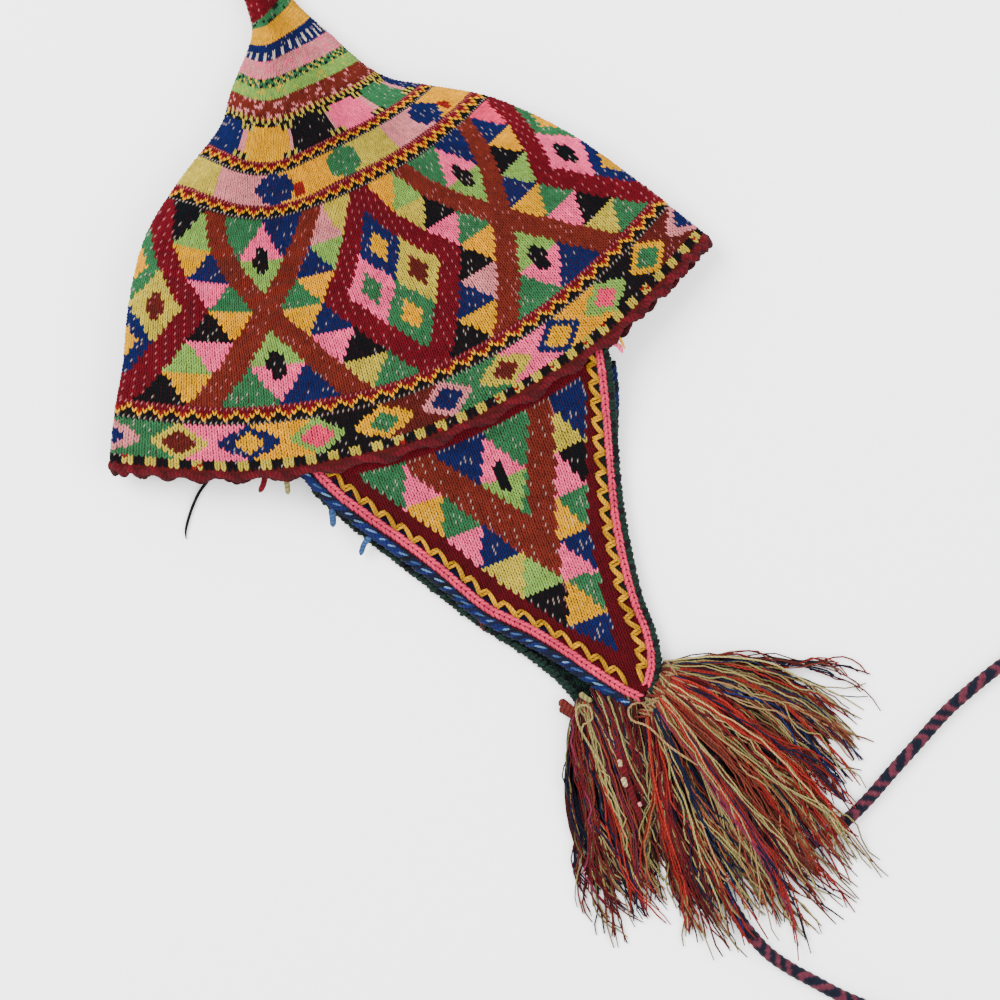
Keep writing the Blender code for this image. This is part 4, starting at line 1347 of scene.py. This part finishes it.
def tie_lift(points, lines):
    """How high yarn has to pass at those points in plan to clear the ties under it."""
    lift = np.zeros(points.shape[:-1])
    for line in lines:
        some = line[::6, :2]
        gap = np.full(points.shape[:-1], 1.0)
        for spot in some:
            gap = np.minimum(gap, np.hypot(points[..., 0] - spot[0], points[..., 1] - spot[1]))
        near = np.clip(1 - (gap - TIE_DIAMETER / 2) / 0.008, 0.0, 1.0)
        lift = np.maximum(lift, (TIE_DIAMETER + 0.0006) * near * near * (3 - 2 * near))
    return lift


def tassel(head, fan, dyes, ties, count, clumps, thick, seed):
    """Loose yarns that fan out from a bound head, gathered in clumps, and lie over the ties."""
    own = np.random.default_rng(seed)
    last = len(fan) - 1
    w = (np.arange(count) + own.random(count)) / count
    clump = (w * clumps).astype(int)
    lock = (w * clumps * 3).astype(int)
    start, heading, reach, bow = rows_at(fan, w * last).T
    clump_middle = np.clip((np.arange(clumps) + 0.5 + own.normal(0, 0.25, clumps)) / clumps, 0, 1)
    clump_heading = rows_at(fan, clump_middle * last)[clump, 1] + own.normal(0, 4.0, clumps)[clump]
    reach = reach * TASSEL_LENGTH * (0.80 + 0.26 * own.random(count))
    reach = reach * (0.84 + 0.20 * own.random(clumps)[clump])
    s = np.linspace(0, 1, STRAND_STATIONS)
    pull = 0.92 * s**1.2
    angle = np.radians(heading[:, None] * (1 - pull) + clump_heading[:, None] * pull)
    way = np.radians(heading)[:, None] * 0.2 + angle * 0.8
    way = way + np.radians(own.normal(0, 1.3, count))[:, None] * s**2
    a, b = np.array(head[0]), np.array(head[1])
    left = np.stack((-np.sin(way), np.cos(way)), axis=-1)
    out = np.stack((np.cos(way[:, 0]), np.sin(way[:, 0])), axis=-1)
    begin = a + (b - a) * start[:, None] + own.normal(0, 0.0006, (count, 2)) - STRAND_SETBACK * out

    def wave(size, times, spread, of):
        """Waves along the yarns: one size and phase for each of the numbered groups."""
        groups = of.max() + 1
        amount = own.normal(0, size, groups)[of][:, None]
        turns = (times + spread * own.random(groups))[of][:, None]
        return amount * np.sin(2 * math.pi * (turns * s + own.random(groups)[of][:, None]))

    each = np.arange(count)
    offset = bow[:, None] * reach[:, None] * 4 * s * (1 - s)
    offset = offset + wave(0.0027, 0.7, 0.7, clump) * s + wave(0.0015, 1.2, 1.0, lock) * s**0.7
    offset = offset + wave(0.0008, 2.0, 2.5, each) * s**0.6 + wave(0.00028, 6.0, 5.0, each)
    loose = np.where(own.random((count, 1)) < 0.10, 0.0048, 0.0013)
    offset = offset + own.normal(0, 1, (count, 1)) * loose * s**4
    offset = offset + own.normal(0, 0.0042, clumps)[clump][:, None] * s**2
    length = reach[:, None] * s
    x = begin[:, 0, None] + np.cos(way) * length + left[..., 0] * offset
    y = begin[:, 1, None] + np.sin(way) * length + left[..., 1] * offset
    layer = 0.45 * own.random(clumps)[clump] + 0.55 * own.random(count)
    profile = np.interp(s, *FAN_PROFILE)
    at_head = np.clip(1 - s / 0.16, 0, 1)
    layer_here = layer[:, None] * (1 - at_head) + (0.85 + 0.15 * layer[:, None]) * at_head
    z = LOWEST_YARN + layer_here * thick * profile + wave(0.0004, 1.5, 2.0, each) * s
    lift = tie_lift(np.stack((x, y), axis=-1), ties)
    over_tie = lift + 0.0005 + layer[:, None] * thick * 0.5 * profile
    z = np.where(lift > 0.0002, np.maximum(z, over_tie), z)
    z = np.maximum(z, LOWEST_YARN)
    order = own.integers(0, len(dyes), lock.max() + 1)
    stray = own.integers(0, len(dyes), count)
    kinds = [own.random(count) < 0.25, lock % 3 < 2]
    chosen = np.select(kinds, [stray, order[lock]], (clump * 5) % len(dyes))
    colour = DYE_LINEAR[np.array(dye_table(dyes))[chosen]] * (1 + own.normal(0, 0.16, (count, 1)))
    # Painted shade: lower strands darker under the upper ones, fading out towards the tips
    depth = UNDER_SHADE + (1 - UNDER_SHADE) * np.clip(layer[:, None] * 1.8 - 0.45, 0, 1)
    depth = depth + np.clip(0.75 - depth, 0, None) * np.clip((s - 0.62) / 0.3, 0, 1)
    radius = STRAND_RADIUS * np.interp(s, (0, 0.95, 1.0), (1.0, 0.95, 0.7))
    radius = radius * (0.8 + 0.35 * own.random((count, 1)))
    paths = np.stack((x, y, z), axis=-1)
    return yarns(paths, radius, 6, np.clip(colour, 0, 1)[:, None] * depth[..., None])


def shade_underlayer(head, fan, count, seed):
    """Thick yarns flat on the ground that close a tassel from below, darkened as painted shade in the
    gaps between its strands.
    """
    own = np.random.default_rng(seed)
    a, b = np.array(head[0]), np.array(head[1])
    start, heading, reach, bow = rows_at(fan, (np.arange(count) + 0.5) / count * (len(fan) - 1)).T
    s = np.linspace(0, 1, 12)
    way = np.radians(heading)[:, None]
    length = reach[:, None] * TASSEL_LENGTH * (0.66 + 0.1 * own.random((count, 1))) * s
    offset = bow[:, None] * reach[:, None] * TASSEL_LENGTH * 4 * s * (1 - s)
    begin = a + (b - a) * start[:, None]
    x = begin[:, 0, None] + np.cos(way) * length - np.sin(way) * offset
    y = begin[:, 1, None] + np.sin(way) * length + np.cos(way) * offset
    radius = np.broadcast_to(0.0017 * np.interp(s, (0, 0.6, 1), (1, 1, 0.3)), x.shape)
    # Painted shade: dark dyes dimmed to 0.4 that stand for the shade under the tassel
    shade_darks = DYE_LINEAR[dye_table(("dark_crimson", "black", "deep_navy"))] * 0.4
    colours = shade_darks[np.arange(count) % len(shade_darks)][:, None]
    return yarns(np.stack((x, y, radius + 0.0001), axis=-1), radius, 4, colours)


def bindings(head, dyes, radius, height, count):
    """Yarn wound round a tassel's head."""
    a, b = np.array(head[0]), np.array(head[1])
    along = (b - a) / np.linalg.norm(b - a)
    across = np.array((along[1], -along[0]))
    angle = np.linspace(-0.1 * math.pi, 1.1 * math.pi, 9)
    paths = []
    colours = []
    for n in range(count):
        share = (n + 0.5) / count
        middle = a + (b - a) * share + across * radius * 0.9
        lean = along * 0.0012 * np.cos(angle)[:, None] * rng.normal(0.6, 1.2)
        reach = radius * rng.uniform(0.7, 1.2)
        plan = middle + across * (np.cos(angle) * reach)[:, None] + lean
        z = GAP + height / 2 + np.sin(angle) * height / 2
        paths.append(np.column_stack((plan, np.maximum(z, LOWEST_YARN))))
        colours.append(np.tile(DYE_LINEAR[D[dyes[rng.integers(len(dyes))]]] * 0.8, (9, 1)))
    return yarns(np.array(paths), 0.0005, 6, np.array(colours))


def make_tassels(front_tie, back_tie):
    """The two tassels, the front one with the dark yarns that lie between them."""
    ties = (front_tie, back_tie)
    front = gather([
        tassel(FRONT_HEAD, FRONT_FAN, FRONT_DYES, ties, count=610, clumps=44, thick=0.0088, seed=5),
        tassel(MIDDLE_HEAD, MIDDLE_FAN, MIDDLE_DYES, ties, count=110, clumps=12, thick=0.0066, seed=7),
        shade_underlayer(FRONT_HEAD, FRONT_FAN, count=38, seed=6),
        shade_underlayer(MIDDLE_HEAD, MIDDLE_FAN, count=12, seed=8),
        bindings(FRONT_HEAD, FRONT_BINDING, radius=0.0030, height=0.0086, count=26),
    ])
    back = gather([
        tassel(BACK_HEAD, BACK_FAN, BACK_DYES, ties, count=250, clumps=17, thick=0.0070, seed=9),
        shade_underlayer(BACK_HEAD, BACK_FAN, count=24, seed=10),
        bindings(BACK_HEAD, BACK_BINDING, radius=0.0026, height=0.0070, count=9),
    ])
    for name, mesh in (("front", front), ("back", back)):
        piece = add_piece(f"tassel_{name}_yarns", mesh, tassel_yarn)
        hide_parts(f"tassel_{name}")


# The bound core between the tassels, its white specks and the bits of yarn at the tips of the flaps,
# metres: points, radius, dye
BOUND_YARNS = (
    (((0.0239, -0.1500, 0.0060), (0.0200, -0.1600, 0.0075), (0.0185, -0.1811, 0.0072),
      (0.0185, -0.1932, 0.0040)),
     0.0016, "dark_crimson"),
    (((0.0187, -0.1676, 0.0096), (0.0182, -0.1704, 0.0098)),
     0.0010, "bone"),
    (((0.0176, -0.1742, 0.0098), (0.0174, -0.1780, 0.0098)),
     0.0012, "bone"),
    (((0.0198, -0.1850, 0.0090), (0.0199, -0.1868, 0.0088)),
     0.0008, "light_pink"),
    (((0.0058, -0.1395, 0.0040), (0.0074, -0.1420, 0.0045), (0.0096, -0.1460, 0.0050)),
     0.0019, "maroon"),
    (((0.0050, -0.1420, 0.0036), (0.0066, -0.1440, 0.0040), (0.0092, -0.1475, 0.0050)),
     0.0018, "maroon"),
    (((0.0138, -0.1396, 0.0062), (0.0153, -0.1420, 0.0068), (0.0169, -0.1440, 0.0066)),
     0.0013, "olive"),
    (((0.0125, -0.1700, 0.0076), (0.0105, -0.1600, 0.0084), (0.0092, -0.1500, 0.0086),
      (0.0110, -0.1440, 0.0088), (0.0152, -0.1452, 0.0090), (0.0146, -0.1502, 0.0092),
      (0.0104, -0.1510, 0.0094), (0.0086, -0.1560, 0.0090)),
     0.0005, "olive"),
    (((0.0450, -0.1800, 0.0098), (0.0380, -0.1700, 0.0100), (0.0330, -0.1600, 0.0100),
      (0.0282, -0.1556, 0.0098), (0.0290, -0.1508, 0.0098), (0.0340, -0.1510, 0.0100),
      (0.0352, -0.1570, 0.0102)),
     0.0005, "tan"),
)


# Loose yarn ends, metres: points, thickness, dye
LOOSE_ENDS = (
    (((-0.0835, -0.0120, 0.0030), (-0.0850, -0.0149, 0.0015), (-0.0920, -0.0195, 0.0009),
      (-0.0976, -0.0253, 0.0008), (-0.1013, -0.0305, 0.0008), (-0.1024, -0.0337, 0.0008)),
     0.0007, "black"),
    (((-0.0655, -0.0220, 0.0170), (-0.0675, -0.0252, 0.0160), (-0.0700, -0.0275, 0.0155)),
     0.0013, "crimson"),
    (((-0.0590, -0.0260, 0.0170), (-0.0594, -0.0285, 0.0160), (-0.0604, -0.0320, 0.0150)),
     0.0012, "olive"),
    (((-0.0474, -0.0430, 0.0140), (-0.0484, -0.0465, 0.0110), (-0.0494, -0.0490, 0.0095)),
     0.0015, "dusty_blue"),
    (((-0.0377, -0.0575, 0.0080), (-0.0410, -0.0592, 0.0060), (-0.0438, -0.0625, 0.0045)),
     0.0013, "dusty_blue"),
    (((-0.0114, -0.0985, 0.0045), (-0.0110, -0.1020, 0.0035), (-0.0112, -0.1055, 0.0025)),
     0.0008, "maroon"),
    (((0.0670, -0.0195, 0.0200), (0.0700, -0.0215, 0.0200), (0.0730, -0.0245, 0.0190),
      (0.0736, -0.0275, 0.0180)),
     0.0011, "pink"),
    (((0.0660, -0.0185, 0.0205), (0.0700, -0.0195, 0.0210), (0.0742, -0.0220, 0.0200),
      (0.0748, -0.0265, 0.0190)),
     0.0007, "gold"),
)


def make_loose_ends():
    """Single yarns along their own points: cut ends, curls, and the bound core between the tassels."""
    for name, table in (("loose_yarn_ends", LOOSE_ENDS), ("bound_core", BOUND_YARNS)):
        parts = []
        for points, radius, dye in table:
            line = np.array(points)
            line = spaced(rows_at(line, np.linspace(0, len(line) - 1, 60)), count=24)
            widths = radius * np.interp(np.linspace(0, 1, 24), (0, 0.12, 0.85, 1), (0.4, 1, 0.9, 0.35))
            shade = (0.75 + 0.5 * rng.random(24))[:, None]
            parts.append(yarns(line[None], widths[None], 6, (DYE_LINEAR[D[dye]] * shade)[None]))
        add_piece(name, gather(parts), tassel_yarn)


def make_stage():
    """A pale floor and soft light from above."""
    bpy.ops.object.select_all(action="DESELECT")
    bpy.ops.mesh.primitive_plane_add(size=6.0, location=(0, 0, 0))
    floor = bpy.context.object
    floor.name = "floor"
    floor.location.z = -0.0002
    paper = bpy.data.materials.new("matt_white_paper")
    paper.use_nodes = True
    shader = paper.node_tree.nodes["Principled BSDF"]
    shader.inputs["Base Color"].default_value = (0.90, 0.90, 0.90, 1.0)
    shader.inputs["Roughness"].default_value = 0.9
    floor.data.materials.append(paper)
    for name, place, size, power in (
        ("key_light", (-0.7, 0.9, 1.6), 1.2, 88.0),
        ("fill_light", (1.0, -0.6, 1.5), 1.6, 39.0),
    ):
        lamp = bpy.data.lights.new(name, "AREA")
        lamp.size = size
        lamp.energy = power
        light = bpy.data.objects.new(name, lamp)
        light.location = place
        bpy.context.scene.collection.objects.link(light)
        aim = light.constraints.new("TRACK_TO")
        aim.target = floor
        aim.track_axis = "TRACK_NEGATIVE_Z"
        aim.up_axis = "UP_Y"
    world = bpy.data.worlds.new("studio")
    world.use_nodes = True
    world.node_tree.nodes["Background"].inputs["Color"].default_value = (1.0, 1.0, 1.0, 1.0)
    world.node_tree.nodes["Background"].inputs["Strength"].default_value = 2.3
    bpy.context.scene.world = world


front_tie_line = make_tie("braided_tie_front", FRONT_TIE, "tie_front")
back_tie_line = make_tie("braided_tie_back", BACK_TIE, "tie_back")
make_crown()
make_rim_edging()
make_flaps()
make_tassels(front_tie_line, back_tie_line)
make_loose_ends()
make_stage()
